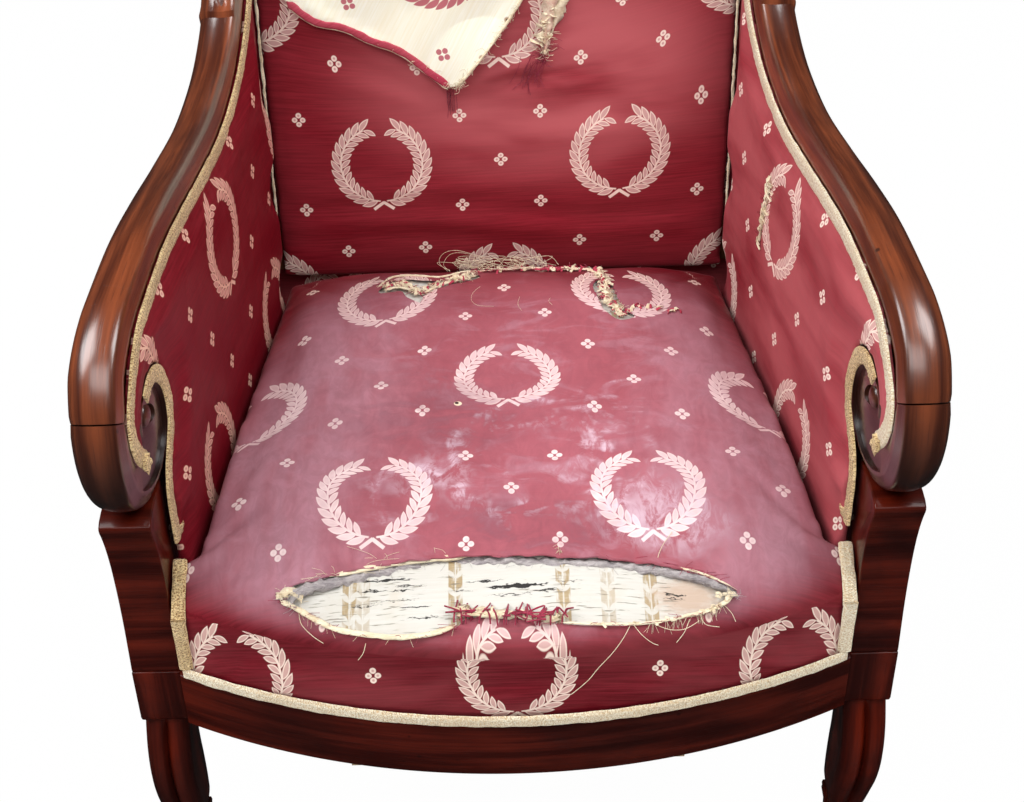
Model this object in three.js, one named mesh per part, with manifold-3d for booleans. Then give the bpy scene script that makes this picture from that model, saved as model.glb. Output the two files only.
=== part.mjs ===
// A worn scroll-arm armchair of about 1825: mahogany show-wood frame, sprung seat, padded arms and back.
// Millimetres, +Z up, the chair faces -Y. Pieces are built on the +X side and mirrored for the other side.
import * as THREE from 'three';
import { mergeVertices } from 'three/addons/utils/BufferGeometryUtils.js';
import Module from 'manifold-3d';

const wasm = await Module();
wasm.setup();

// Driving dimensions, measured off the chair
const GAP = 0.3;
const CHAIR_HEIGHT = 950;
const RAIL_TOP = 310;
const RAIL_DEPTH = 57;
const RAIL_THICK = 26;
const POST_OUTER = 300;
const POST_WIDTH = 38;
const POST_INNER = POST_OUTER - POST_WIDTH;
const POST_DEPTH = 44;
const BOW = 61;
const BOW_SETBACK = 4;
const CAP_HEIGHT = 164;

// The arms and inside panels stand on a line that closes in towards the back
const SPLAY = 0.105;
const ARM_WIDTH_FRONT = 39;
const ARM_WIDTH_BACK = 35;
const ARM_DEPTH = 34;
const REVEAL = 17;
const REBATE = 5;

// Volute of the arm: centre in the side view and radius at each quarter turn, from the top forwards
const VOLUTE_Y = 40;
const VOLUTE_Z = 226;
const VOLUTE_RADII = [102, 78, 62, 37, 34, 31];
const JOINT_ANGLE = 146;
const TONGUE_END = 208;
const EYE_END = 540;
const CORE = 8;

// Back
const STILE_OUTER = 256;
const STILE_WIDTH = 35;
const STILE_DEPTH = 34;
const STILE_FRONT = 444;
const BACK_LEAN = 0.085;
const CREST_DEPTH = 78;
const SEAT_BACK = 448;
const PAD_FRONT = 451;
const PAD_THICK = 22;

// Upholstery
const CLOTH = 1.4;
const WADDING = 2.2;
const BRAID = 11;
const BRAID_THICK = 1.8;
const WEB_WIDTH = 50;
const WEB_THICK = 1.6;
const WEB_SAG = 9;

// Materials
const mahogany = () => new THREE.MeshStandardMaterial({ color: 0x5a2418, roughness: 0.28, metalness: 0 });
const plainWood = () => new THREE.MeshStandardMaterial({ color: 0x8a5a34, roughness: 0.75, metalness: 0 });
const crimson = () => new THREE.MeshStandardMaterial({ color: 0x7c1f33, roughness: 0.5, metalness: 0 });
const cream = () => new THREE.MeshStandardMaterial({ color: 0xe2d3ad, roughness: 0.8, metalness: 0 });
const wadding = () => new THREE.MeshStandardMaterial({ color: 0x8d877c, roughness: 1, metalness: 0 });
const braidMaterial = () => new THREE.MeshStandardMaterial({ color: 0xc2a368, roughness: 0.85, metalness: 0 });
const jute = () => new THREE.MeshStandardMaterial({ color: 0x9a7d52, roughness: 0.95, metalness: 0 });
const springSteel = () => new THREE.MeshStandardMaterial({ color: 0x5d5b58, roughness: 0.45, metalness: 0.9 });

// Shared form tools

const v2 = (x, y) => new THREE.Vector2(x, y);
const v3 = (x, y, z) => new THREE.Vector3(x, y, z);
const lerp = THREE.MathUtils.lerp;
const smooth = (t) => THREE.MathUtils.smoothstep(t, 0, 1);

function toSolid(geometry) {
  const bare = geometry.clone();
  bare.deleteAttribute('normal');
  bare.deleteAttribute('uv');
  const merged = mergeVertices(bare, 1e-4);
  const vertProperties = new Float32Array(merged.attributes.position.array);
  const triVerts = new Uint32Array(merged.index.array);
  const mesh = new wasm.Mesh({ numProp: 3, vertProperties, triVerts });
  return new wasm.Manifold(mesh);
}

function toGeometry(solid) {
  const mesh = solid.getMesh();
  const geometry = new THREE.BufferGeometry();
  geometry.setAttribute('position', new THREE.BufferAttribute(new Float32Array(mesh.vertProperties), 3));
  geometry.setIndex(new THREE.BufferAttribute(new Uint32Array(mesh.triVerts), 1));
  return geometry;
}

function signedVolume(points, index) {
  let sum = 0;
  for (let i = 0; i < index.length; i += 3) {
    const [a, b, c] = [points[index[i]], points[index[i + 1]], points[index[i + 2]]];
    sum += a.dot(b.clone().cross(c));
  }
  return sum / 6;
}

// Closed solid through a row of sections with the same number of points
function loft(sections, place) {
  const rings = sections.map((section, i) => section.map((p) => place(i, p)));
  const count = sections[0].length;
  const points = rings.flat();
  const index = [];
  for (let i = 0; i + 1 < rings.length; i += 1) {
    for (let j = 0; j < count; j += 1) {
      const a = i * count + j;
      const b = i * count + ((j + 1) % count);
      index.push(a, b, b + count, a, b + count, a + count);
    }
  }
  // The end faces run against the first outline and along the last one
  const closeEnd = (section, start, along) => {
    const faces = THREE.ShapeUtils.triangulateShape(section, []);
    const turn = along === THREE.ShapeUtils.isClockWise(section);
    for (const [a, b, c] of faces) {
      index.push(start + a, start + (turn ? c : b), start + (turn ? b : c));
    }
  };
  closeEnd(sections[0], 0, false);
  closeEnd(sections[sections.length - 1], (rings.length - 1) * count, true);
  return closedGeometry(points, index);
}

function closedGeometry(points, index) {
  if (signedVolume(points, index) < 0) {
    for (let i = 0; i < index.length; i += 3) {
      [index[i + 1], index[i + 2]] = [index[i + 2], index[i + 1]];
    }
  }
  const geometry = new THREE.BufferGeometry();
  geometry.setFromPoints(points);
  geometry.setIndex(index);
  return geometry;
}

// Box given by its two corners
function block(low, high) {
  const geometry = new THREE.BoxGeometry(high[0] - low[0], high[1] - low[1], high[2] - low[2]);
  geometry.translate((low[0] + high[0]) / 2, (low[1] + high[1]) / 2, (low[2] + high[2]) / 2);
  return geometry;
}

// Where a side line stands at a height, for a line that only rises or only falls
function lineAt(curve, height) {
  const rises = curve.getPoint(1).y > curve.getPoint(0).y;
  let low = 0;
  let high = 1;
  for (let i = 0; i < 24; i += 1) {
    const middle = (low + high) / 2;
    const isAbove = curve.getPoint(middle).y > height;
    if (isAbove === rises) {
      high = middle;
    } else {
      low = middle;
    }
  }
  return curve.getPoint((low + high) / 2).x;
}

// The same piece for the left side, its faces turned so that they still point outwards
function mirrored(geometry) {
  const copy = geometry.index ? geometry.clone() : mergeVertices(geometry);
  const position = copy.attributes.position;
  const index = copy.index;
  for (let i = 0; i < position.count; i += 1) {
    position.setX(i, -position.getX(i));
  }
  for (let i = 0; i < index.count; i += 3) {
    const kept = index.getX(i + 1);
    index.setX(i + 1, index.getX(i + 2));
    index.setX(i + 2, kept);
  }
  return copy;
}

// Lays a flat outline drawn in the side view (back, up) at a distance x from the middle of the chair
function fromSideView(geometry, x, splay = 0) {
  geometry.applyMatrix4(new THREE.Matrix4().set(-splay, 0, 1, x, 1, 0, 0, 0, 0, 1, 0, 0, 0, 0, 0, 1));
  return geometry;
}

const chair = new THREE.Group();
const frame = new THREE.Group();
frame.position.z = RAIL_TOP;
chair.add(frame);

// Heights below are taken from the top of the seat rails, so every piece hangs in the frame group
function addPiece(name, geometry, material) {
  const faceted = geometry.clone();
  faceted.deleteAttribute('normal');
  faceted.deleteAttribute('uv');
  const finished = faceted.index ? faceted.toNonIndexed() : faceted;
  finished.computeVertexNormals();
  const mesh = new THREE.Mesh(finished, material);
  mesh.name = name;
  frame.add(mesh);
  return mesh;
}

function addPair(name, geometry, material) {
  addPiece(`${name}_right`, geometry, material());
  addPiece(`${name}_left`, mirrored(geometry), material());
}

// Plan lines: the inner face of an arm, its width, the bowed seat front and the front face of an upright

const inSide = (y) => POST_INNER - SPLAY * Math.max(y, -10);
const armWidth = (y) => lerp(ARM_WIDTH_FRONT, ARM_WIDTH_BACK, THREE.MathUtils.clamp(y / SEAT_BACK, 0, 1));
const BOW_RADIUS = (POST_INNER ** 2 + BOW ** 2) / (2 * BOW);
const bowFront = (x) => {
  const drop = Math.sqrt(Math.max(BOW_RADIUS ** 2 - x ** 2, 0)) - (BOW_RADIUS - BOW);
  return -BOW_SETBACK - drop;
};
const stileFront = (z) => STILE_FRONT + BACK_LEAN * Math.max(z, 0);

// Front legs: knee leg with a lotus leaf, its vein and ring, below the rail block

const LEG_TOP = -RAIL_DEPTH;
const LEG_BOTTOM = -RAIL_TOP;
const LEAF_END = -214;

// Front line and back line of the leg in the side view, from the rail block down to the floor
const legFront = new THREE.SplineCurve([
  v2(3, LEG_TOP), v2(-12, -84), v2(-17, -112), v2(-12, -142), v2(0, -176), v2(14, -216), v2(20, -260),
  v2(14, LEG_BOTTOM),
]);
const legBack = new THREE.SplineCurve([
  v2(44, LEG_TOP), v2(41, -110), v2(43, -142), v2(46, -174), v2(48, -215), v2(47, -260), v2(42, LEG_BOTTOM),
]);

const LEG_HALF_TOP = 17.5;
const LEG_HALF_FOOT = 12;
const LEG_TAPER = 180;
const VEIN_DEPTH = 4.5;
const KNEE_ROUND = 9;

// Outline of the leg at a height: the vein in the middle of the front, rounded lobes beside it, a plain back
function legSection(height) {
  const isLeaf = height > LEAF_END;
  const onLeaf = smooth((height - LEAF_END) / 30);
  const half = lerp(LEG_HALF_FOOT, LEG_HALF_TOP, smooth((height - LEG_BOTTOM) / LEG_TAPER));
  const leafTaper = isLeaf ? lerp(0.86, 1, onLeaf) : 0.92;
  const w = half * leafTaper;
  const front = lineAt(legFront, height);
  const back = lineAt(legBack, height);
  const veinRise = smooth((LEG_TOP - height) / 20) * smooth((height - LEAF_END) / 40);
  const vein = isLeaf ? VEIN_DEPTH * veinRise : 0;
  return [
    v2(0, front + vein),
    v2(0.22 * w, front + vein * 0.35),
    v2(0.5 * w, front + 0.6),
    v2(0.8 * w, front + 3.2),
    v2(w, front + KNEE_ROUND),
    v2(w, lerp(front, back, 0.6)),
    v2(0.94 * w, back - 1.5),
    v2(0, back),
    v2(-0.94 * w, back - 1.5),
    v2(-w, lerp(front, back, 0.6)),
    v2(-w, front + KNEE_ROUND),
    v2(-0.8 * w, front + 3.2),
    v2(-0.5 * w, front + 0.6),
    v2(-0.22 * w, front + vein * 0.35),
  ];
}

function frontLeg() {
  const x = (POST_OUTER + POST_INNER) / 2 + 0.5;
  const heights = [];
  const steps = 13;
  for (let i = 0; i <= steps; i += 1) {
    heights.push(lerp(LEG_TOP + 2, LEG_BOTTOM, i / steps));
  }
  const rings = heights.map((h) => legSection(h));
  const leg = toSolid(loft(rings, (i, p) => v3(x + p.x, p.y, heights[i])));
  // The leaf ends in a ring that stands proud of the leg
  const band = [LEAF_END + 5, LEAF_END + 2.5, LEAF_END - 2.5, LEAF_END - 5];
  const proud = [0, 1.8, 1.8, 0];
  const halfDepth = 14;
  const ringSections = band.map((h, i) => {
    const section = legSection(Math.min(h, LEAF_END - 0.1));
    const middle = (lineAt(legFront, h) + lineAt(legBack, h)) / 2;
    const grow = 1 + proud[i] / halfDepth;
    return section.map((p) => v2(p.x * grow, middle + (p.y - middle) * grow));
  });
  const ring = toSolid(loft(ringSections, (i, p) => v3(x + p.x, p.y, band[i])));
  return toGeometry(leg.add(ring).add(railBlock()));
}

// Square block that the rails are tenoned into, its lower edge rounded
function railBlock() {
  const soften = [0, 0.6, 2.2, 4];
  const drop = [-4, -1.8, -0.5, 0];
  const levels = [-GAP, ...drop.map((d) => LEG_TOP - d)];
  const insets = [0, ...soften];
  const sections = insets.map((inset) => [
    v2(POST_INNER + inset, inset),
    v2(POST_OUTER - inset, inset),
    v2(POST_OUTER - inset, POST_DEPTH - inset),
    v2(POST_INNER + inset, POST_DEPTH - inset),
  ]);
  return toSolid(loft(sections, (i, p) => v3(p.x, p.y, levels[i])));
}

addPair('front_leg', frontLeg(), mahogany);

// Arm consoles: the posts between the rail blocks and the scrolls, hollowed in front, with a cap

function armConsole() {
  const outline = new THREE.Shape();
  outline.moveTo(1, 0);
  outline.bezierCurveTo(6, 55, 7, 110, -8, CAP_HEIGHT - 10);
  outline.lineTo(-8, CAP_HEIGHT - 5);
  outline.lineTo(-2, CAP_HEIGHT - 2);
  outline.lineTo(8, CAP_HEIGHT - 1.5);
  outline.lineTo(48, CAP_HEIGHT - 6);
  outline.lineTo(POST_DEPTH + 2, 110);
  outline.lineTo(POST_DEPTH, 0);
  outline.closePath();
  const geometry = new THREE.ExtrudeGeometry(outline, {
    depth: POST_WIDTH - 2,
    bevelEnabled: true,
    bevelSize: 1,
    bevelOffset: -1,
    bevelThickness: 1,
    bevelSegments: 1,
    curveSegments: 10,
  });
  return fromSideView(geometry, POST_INNER + 1);
}

addPair('arm_console', armConsole(), mahogany);

// Back uprights: raked rear leg, upright and lotus sheath in one length of wood

// Centre line of front faces in the side view, from the floor up
const STILE_TOP = CHAIR_HEIGHT - RAIL_TOP - CREST_DEPTH;
const stileLine = new THREE.SplineCurve([
  v2(548, LEG_BOTTOM), v2(508, -220), v2(470, -130), v2(450, -50),
  ...[40, 160, 300, 440, STILE_TOP].map((z) => v2(stileFront(z), z)),
]);

function stileGeometry(grow) {
  const steps = 16;
  const heights = [];
  for (let i = 0; i <= steps; i += 1) {
    heights.push(lerp(LEG_BOTTOM, STILE_TOP - GAP, i / steps));
  }
  const sections = heights.map((height) => {
    const leg = smooth((-60 - height) / 200);
    const depth = lerp(STILE_DEPTH, 28, leg);
    const inner = STILE_OUTER - STILE_WIDTH + 6 * leg - grow;
    const outer = STILE_OUTER - 3 * leg + grow;
    const soft = 3;
    return [
      v2(inner, grow ? -grow : soft),
      v2(inner + soft, -grow),
      v2(outer - soft, -grow),
      v2(outer, soft - grow),
      v2(outer, depth + grow),
      v2(inner, depth + grow),
    ];
  });
  return loft(sections, (i, p) => v3(p.x, lineAt(stileLine, heights[i]) + p.y, heights[i]));
}

addPair('back_upright', stileGeometry(0), mahogany);

// Arms and scrolls: one moulded section swept along the crown line and rolled into the volute

function voluteRadius(degrees) {
  const position = (degrees - 90) / 90;
  const i = THREE.MathUtils.clamp(Math.floor(position), 0, VOLUTE_RADII.length - 2);
  const t = position - i;
  const at = (k) => VOLUTE_RADII[THREE.MathUtils.clamp(k, 0, VOLUTE_RADII.length - 1)];
  const before = i === 0 ? 2 * at(0) - at(1) + 18 : at(i - 1);
  const [a, b, c, d] = [before, at(i), at(i + 1), at(i + 2)];
  const bend = 2 * b + (c - a) * t + (2 * a - 5 * b + 4 * c - d) * t * t + (3 * b - a - 3 * c + d) * t ** 3;
  return bend / 2;
}

function volutePoint(degrees, radius) {
  const angle = THREE.MathUtils.degToRad(degrees);
  return v2(VOLUTE_Y + radius * Math.cos(angle), VOLUTE_Z + radius * Math.sin(angle));
}

// Crown line of the arm in the side view, from the upright down and forward to the top of the roll
const crownLine = new THREE.SplineCurve([
  v2(486, 490), v2(474, 436), v2(457, 397), v2(433, 366), v2(404, 344), v2(364, 328), v2(304, 320),
  v2(234, 325), v2(171, 332), v2(112, 335), v2(VOLUTE_Y, VOLUTE_Z + VOLUTE_RADII[0]),
]);
// The lotus sheath covers the arm from the upright down to here along that line
const SHEATH_END = 0.36;
const SHEATH_PROUD = 1.8;

// The moulded section: a flat inner face, a small chamfer to the ridge, a full crown and a rounded outer side
function armSection(width, depth) {
  return [
    v2(0, 12),
    v2(3.5, 3.2),
    v2(0.28 * width, 0.8),
    v2(0.5 * width, 0),
    v2(0.7 * width, 2),
    v2(0.86 * width, 6.5),
    v2(0.96 * width, 13),
    v2(width, 21),
    v2(width, depth - 2),
    v2(width - 2, depth),
    v2(REBATE, depth),
    v2(REBATE, REVEAL),
    v2(0, REVEAL),
  ];
}

// Places a section point: x across the arm from its inner face, y down from the crown
function onArm(at, inward, p) {
  const y = at.x + inward.x * p.y;
  const z = at.y + inward.y * p.y;
  return v3(inSide(at.x) + p.x, y, z);
}

function crownStation(t) {
  const at = crownLine.getPoint(t);
  const along = crownLine.getTangent(t);
  return { at, inward: v2(-along.y, along.x) };
}

function voluteStation(degrees) {
  const at = volutePoint(degrees, voluteRadius(degrees));
  const inward = v2(VOLUTE_Y, VOLUTE_Z).sub(at).normalize();
  return { at, inward, radius: voluteRadius(degrees) };
}

// All the space behind the front faces of the uprights
function behindUpright() {
  const side = new THREE.Shape();
  const far = STILE_FRONT + 200;
  const top = STILE_TOP;
  side.moveTo(stileFront(0) - GAP, -20);
  side.lineTo(stileFront(0) - GAP, 0);
  side.lineTo(stileFront(top) - GAP, top);
  side.lineTo(far, top);
  side.lineTo(far, -20);
  side.closePath();
  return toSolid(fromSideView(new THREE.ExtrudeGeometry(side, { depth: 300, bevelEnabled: false }), 100));
}

// The sheath stands proud of the arm, with a vein cut along the middle of its crown
function lotusSheath() {
  const steps = 7;
  const veinPoint = 3;
  const lastCrownPoint = 8;
  const stations = [];
  for (let i = 0; i <= steps; i += 1) {
    stations.push(crownStation(lerp(SHEATH_END, 0.02, i / steps)));
  }
  const sections = stations.map(({ at }, i) => {
    const section = armSection(armWidth(at.x), ARM_DEPTH - 2);
    const swell = SHEATH_PROUD * smooth((i + 0.6) / 1.6);
    return section.map((p, k) => {
      const isCrown = k > 0 && k <= lastCrownPoint;
      const vein = k === veinPoint ? 1.4 * smooth(i / 2) : 0;
      const widen = p.x < 1 ? 0.4 : swell * 0.4;
      return v2(p.x + widen, p.y - (isCrown ? swell : 0) + vein);
    });
  });
  return toSolid(loft(sections, (i, p) => onArm(stations[i].at, stations[i].inward, p)));
}

function armPiece() {
  const stations = [];
  const steps = 20;
  for (let i = 0; i < steps; i += 1) {
    stations.push(crownStation(i / steps));
  }
  const rollSteps = 5;
  for (let i = 0; i <= rollSteps; i += 1) {
    stations.push(voluteStation(lerp(90, JOINT_ANGLE - 0.2, i / rollSteps)));
  }
  const sections = stations.map(({ at }) => armSection(armWidth(at.x), ARM_DEPTH));
  const swept = toSolid(loft(sections, (i, p) => onArm(stations[i].at, stations[i].inward, p)));
  return toGeometry(swept.add(lotusSheath()).subtract(behindUpright()));
}

// Radius of the cloth tongue's outer edge where it passes the joint and where it ends
const BAND_START = 70;
const BAND_END = 41;

// The lower half of the roll: the band of the scroll with a recessed web behind it
function scrollBand() {
  const stations = [];
  const steps = 5;
  for (let i = 0; i <= steps; i += 1) {
    stations.push(voluteStation(lerp(JOINT_ANGLE + 0.2, TONGUE_END, i / steps)));
  }
  const sections = stations.map(({ at, radius }, i) => {
    const reveal = radius - lerp(BAND_START, BAND_END, i / steps);
    const section = armSection(armWidth(at.x), radius - CORE);
    section[section.length - 1].y = reveal;
    section[section.length - 2].y = reveal;
    return section;
  });
  return toSolid(loft(sections, (i, p) => onArm(stations[i].at, stations[i].inward, p)));
}

// From the foot of the cloth tongue the scroll runs on in one face, a shallow channel marking the spiral
function scrollEye() {
  const stations = [];
  const steps = 20;
  for (let i = 0; i <= steps; i += 1) {
    stations.push(voluteStation(lerp(TONGUE_END - 6, EYE_END, i / steps)));
  }
  const sections = stations.map(({ at, radius }, i) => {
    const t = i / steps;
    const crown = lerp(1, 0.55, t);
    const sunkOutside = 7 * smooth((t - 0.35) / 0.3);
    const width = armWidth(at.x) - sunkOutside;
    const fillet = lerp(16, 9, t);
    const channel = 2.4 * smooth(t / 0.15);
    return [
      v2(0, 8 * crown),
      v2(3.2, 2.4 * crown),
      v2(0.28 * width, 0.8),
      v2(0.5 * width, 0),
      v2(0.7 * width, 2 * crown),
      v2(0.86 * width, 6.5 * crown),
      v2(0.96 * width, 13 * crown),
      v2(width, 18 * crown),
      v2(width, radius - CORE),
      v2(channel, radius - CORE),
      v2(channel, fillet + 3),
      v2(0, fillet),
    ];
  });
  return toSolid(loft(sections, (i, p) => onArm(stations[i].at, stations[i].inward, p)));
}

function armScroll() {
  const width = armWidth(VOLUTE_Y) - 8;
  const core = new THREE.CylinderGeometry(CORE + 3, CORE + 3, width, 16);
  core.rotateZ(Math.PI / 2);
  core.translate(inSide(VOLUTE_Y) + width / 2 + 0.6, VOLUTE_Y, VOLUTE_Z);
  const whole = scrollBand().add(scrollEye()).add(toSolid(core));
  // The foot of the scroll stands flat on the console's cap
  const under = block([POST_INNER - 20, -60, 60], [POST_OUTER + 20, 120, CAP_HEIGHT - 1.5 + GAP]);
  return toGeometry(whole.subtract(toSolid(under)));
}

addPair('arm', armPiece(), mahogany);
addPair('arm_scroll', armScroll(), mahogany);

// Crest rail, a shallow arch in front view, standing on the uprights

function crestRail() {
  const half = STILE_OUTER + 6;
  const soften = 2.5;
  const rise = 10;
  const outline = new THREE.Shape();
  outline.moveTo(-half, 0);
  outline.lineTo(half, 0);
  outline.lineTo(half, CREST_DEPTH - rise);
  outline.quadraticCurveTo(0, CREST_DEPTH + rise, -half, CREST_DEPTH - rise);
  outline.closePath();
  const geometry = new THREE.ExtrudeGeometry(outline, {
    depth: STILE_DEPTH - 2 * soften,
    bevelEnabled: true,
    bevelSize: soften,
    bevelOffset: -soften,
    bevelThickness: soften,
    bevelSegments: 2,
    curveSegments: 14,
  });
  return standInBack(geometry, stileFront(STILE_TOP) + soften, STILE_TOP);
}

// Stands an outline drawn in the front view (across, up) in the leaning back, its thickness running rearwards
function standInBack(geometry, front, height) {
  geometry.applyMatrix4(
    new THREE.Matrix4().set(-1, 0, 0, 0, 0, BACK_LEAN, 1, front, 0, 1, 0, height, 0, 0, 0, 1),
  );
  return geometry;
}

addPiece('crest_rail', crestRail(), mahogany());

// Seat rails and corner blocks

const BETWEEN_STILES = STILE_OUTER - STILE_WIDTH - GAP;
const sideRailOuter = (y) => lerp(POST_OUTER - 2, STILE_OUTER - 1, (y - POST_DEPTH) / (SEAT_BACK - POST_DEPTH));
const sideRailInner = (y) => sideRailOuter(y) - RAIL_THICK;

function frontRail() {
  const steps = 20;
  const reach = POST_INNER - GAP;
  const lines = [];
  for (let i = 0; i <= steps; i += 1) {
    lines.push(lerp(-reach, reach, i / steps));
  }
  const section = [
    v2(0, -GAP),
    v2(RAIL_THICK, -GAP),
    v2(RAIL_THICK, -RAIL_DEPTH),
    v2(3, -RAIL_DEPTH),
    v2(0, 3 - RAIL_DEPTH),
  ];
  return loft(lines.map(() => section), (i, p) => v3(lines[i], bowFront(lines[i]) + p.x, p.y));
}

function sideRail() {
  const ends = [POST_DEPTH + GAP, stileFront(0) - GAP];
  const sections = ends.map((y) => [
    v2(sideRailInner(y), -RAIL_DEPTH),
    v2(sideRailOuter(y), -RAIL_DEPTH),
    v2(sideRailOuter(y), -GAP),
    v2(sideRailInner(y), -GAP),
  ]);
  return loft(sections, (i, p) => v3(p.x, ends[i], p.y));
}

const BACK_RAIL_FRONT = SEAT_BACK + 2;
addPiece('front_rail', frontRail(), mahogany());
addPair('side_rail', sideRail(), mahogany);
addPiece(
  'back_rail',
  block([-BETWEEN_STILES, BACK_RAIL_FRONT, -RAIL_DEPTH], [BETWEEN_STILES, BACK_RAIL_FRONT + RAIL_THICK, -GAP]),
  plainWood(),
);

const BLOCK_LEG = 58;
function cornerBlock(y, towards) {
  const plan = new THREE.Shape();
  const side = (at) => sideRailInner(at) - GAP;
  plan.moveTo(side(y), y);
  plan.lineTo(side(y + towards * BLOCK_LEG), y + towards * BLOCK_LEG);
  plan.lineTo(side(y) - BLOCK_LEG, y);
  plan.closePath();
  const geometry = new THREE.ExtrudeGeometry(plan, { depth: 26, bevelEnabled: false });
  geometry.translate(0, 0, -46);
  return geometry;
}

addPair('front_corner_block', cornerBlock(POST_DEPTH + 2 * GAP, 1), plainWood);
addPair('back_corner_block', cornerBlock(stileFront(0) - 4 * GAP, -1), plainWood);

// Webbing, interlaced and sagging, nailed under the rails

const WEB_LINES = [-105, 0, 105];
const WEB_ROWS = [112, 226, 340];
const WEAVE = 1.1;
const WEB_LEVEL = -RAIL_DEPTH - GAP - WEAVE - WEB_THICK / 2;
const WEB_FRONT = 40;
const seatMiddle = (WEB_FRONT + SEAT_BACK) / 2;

function webSag(x, y) {
  const acrossPart = 1 - (x / POST_INNER) ** 2;
  const alongPart = 1 - ((y - seatMiddle) / (SEAT_BACK - seatMiddle)) ** 2;
  return -WEB_SAG * Math.max(acrossPart, 0) * Math.max(alongPart, 0);
}

// Stations along a strip: its ends, and both edges of each strip it crosses, where it goes over or under
function weaveStations(start, end, crossings, first) {
  const stations = [{ at: start, level: 0 }, { at: lerp(start, crossings[0], 0.4), level: 0 }];
  crossings.forEach((crossing, i) => {
    const level = (i + first) % 2 === 0 ? WEAVE : -WEAVE;
    stations.push({ at: crossing - WEB_WIDTH / 2 - 4, level });
    stations.push({ at: crossing, level });
    stations.push({ at: crossing + WEB_WIDTH / 2 + 4, level });
  });
  stations.push({ at: lerp(end, crossings[crossings.length - 1], 0.4), level: 0 }, { at: end, level: 0 });
  return stations;
}

const stripSection = [
  v2(-WEB_WIDTH / 2, -WEB_THICK / 2),
  v2(WEB_WIDTH / 2, -WEB_THICK / 2),
  v2(WEB_WIDTH / 2, WEB_THICK / 2),
  v2(-WEB_WIDTH / 2, WEB_THICK / 2),
];

WEB_LINES.forEach((x, i) => {
  const stations = weaveStations(bowFront(x) + 8, BACK_RAIL_FRONT + 18, WEB_ROWS, i);
  const strip = loft(stations.map(() => stripSection), (k, p) => {
    const { at, level } = stations[k];
    return v3(x + p.x, at, WEB_LEVEL + level + webSag(x + p.x, at) + p.y);
  });
  addPiece(`web_lengthwise_${i + 1}`, strip, jute());
});

WEB_ROWS.forEach((y, i) => {
  const reach = sideRailInner(y) + RAIL_THICK / 2;
  const stations = weaveStations(-reach, reach, WEB_LINES, i + 1);
  const strip = loft(stations.map(() => stripSection), (k, p) => {
    const { at, level } = stations[k];
    return v3(at, y + p.x, WEB_LEVEL + level + webSag(at, y + p.x) + p.y);
  });
  addPiece(`web_crosswise_${i + 1}`, strip, jute());
});

// Coil springs, waisted, one on each crossing of the webbing

const SPRING_RADIUS = 33;
const SPRING_WAIST = 21;
const WIRE = 1.9;
const SPRING_TURNS = 4;
const SPRING_TOP = -GAP - WIRE;

// Each spring has settled until its top is level with the rails
function spring(x, y) {
  const foot = WEB_LEVEL + WEAVE + WEB_THICK + webSag(x, y) + WIRE + 1.2;
  const stationsPerTurn = 7;
  const count = SPRING_TURNS * stationsPerTurn;
  const wireSection = [v2(WIRE, 0), v2(0, WIRE), v2(-WIRE, 0), v2(0, -WIRE)];
  const sections = Array.from({ length: count + 1 }, () => wireSection);
  return loft(sections, (i, p) => {
    const t = i / count;
    const angle = t * SPRING_TURNS * Math.PI * 2;
    const waist = lerp(SPRING_WAIST, SPRING_RADIUS, (2 * t - 1) ** 2);
    const climb = lerp(t, smooth(t), 0.35);
    const radius = waist + p.x;
    return v3(x + radius * Math.cos(angle), y + radius * Math.sin(angle), lerp(foot, SPRING_TOP, climb) + p.y);
  });
}

WEB_ROWS.forEach((y, i) => {
  WEB_LINES.forEach((x, k) => {
    addPiece(`spring_${i + 1}_${k + 1}`, spring(x, y), springSteel());
  });
});

// Seat: stuffing, old striped cover, wadding and torn crimson cover, each a skin over the last

const SEAT_EDGE = 67;
const SEAT_ROLL = 46;
const SIDE_DROP = 13;
const CORNER_DROP = 8;
// The crown of the seat along its middle, from the front edge to the back (distance, height)
const seatCrown = [
  v2(-70, 94), v2(0, 97), v2(77, 104), v2(130, 105), v2(205, 101), v2(350, 87), v2(SEAT_BACK, 72),
];

function crownHeight(y) {
  const next = seatCrown.findIndex((p) => p.x >= Math.min(y, SEAT_BACK));
  const [a, b] = [seatCrown[Math.max(next - 1, 0)], seatCrown[Math.max(next, 1)]];
  return lerp(a.y, b.y, smooth((y - a.x) / (b.x - a.x)));
}

// Half width of the seat: between the consoles in front, between the padded sides behind them
function seatHalf(y) {
  const between = POST_INNER - 1.2;
  const behind = POST_INNER - SPLAY * y - 11;
  return lerp(between, behind, smooth((y - 30) / 12));
}

function seatHeight(x, y) {
  const roll = Math.min(Math.max((y - bowFront(x)) / SEAT_ROLL, 0), 1);
  const front = (crownHeight(y) - SEAT_EDGE) * (1 - Math.sqrt(1 - (1 - roll) ** 2));
  const edge = Math.min(Math.abs(x) / seatHalf(y), 1);
  const corner = CORNER_DROP * smooth((60 - y) / 60);
  return crownHeight(y) - front - (SIDE_DROP + corner) * edge ** 5;
}

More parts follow.
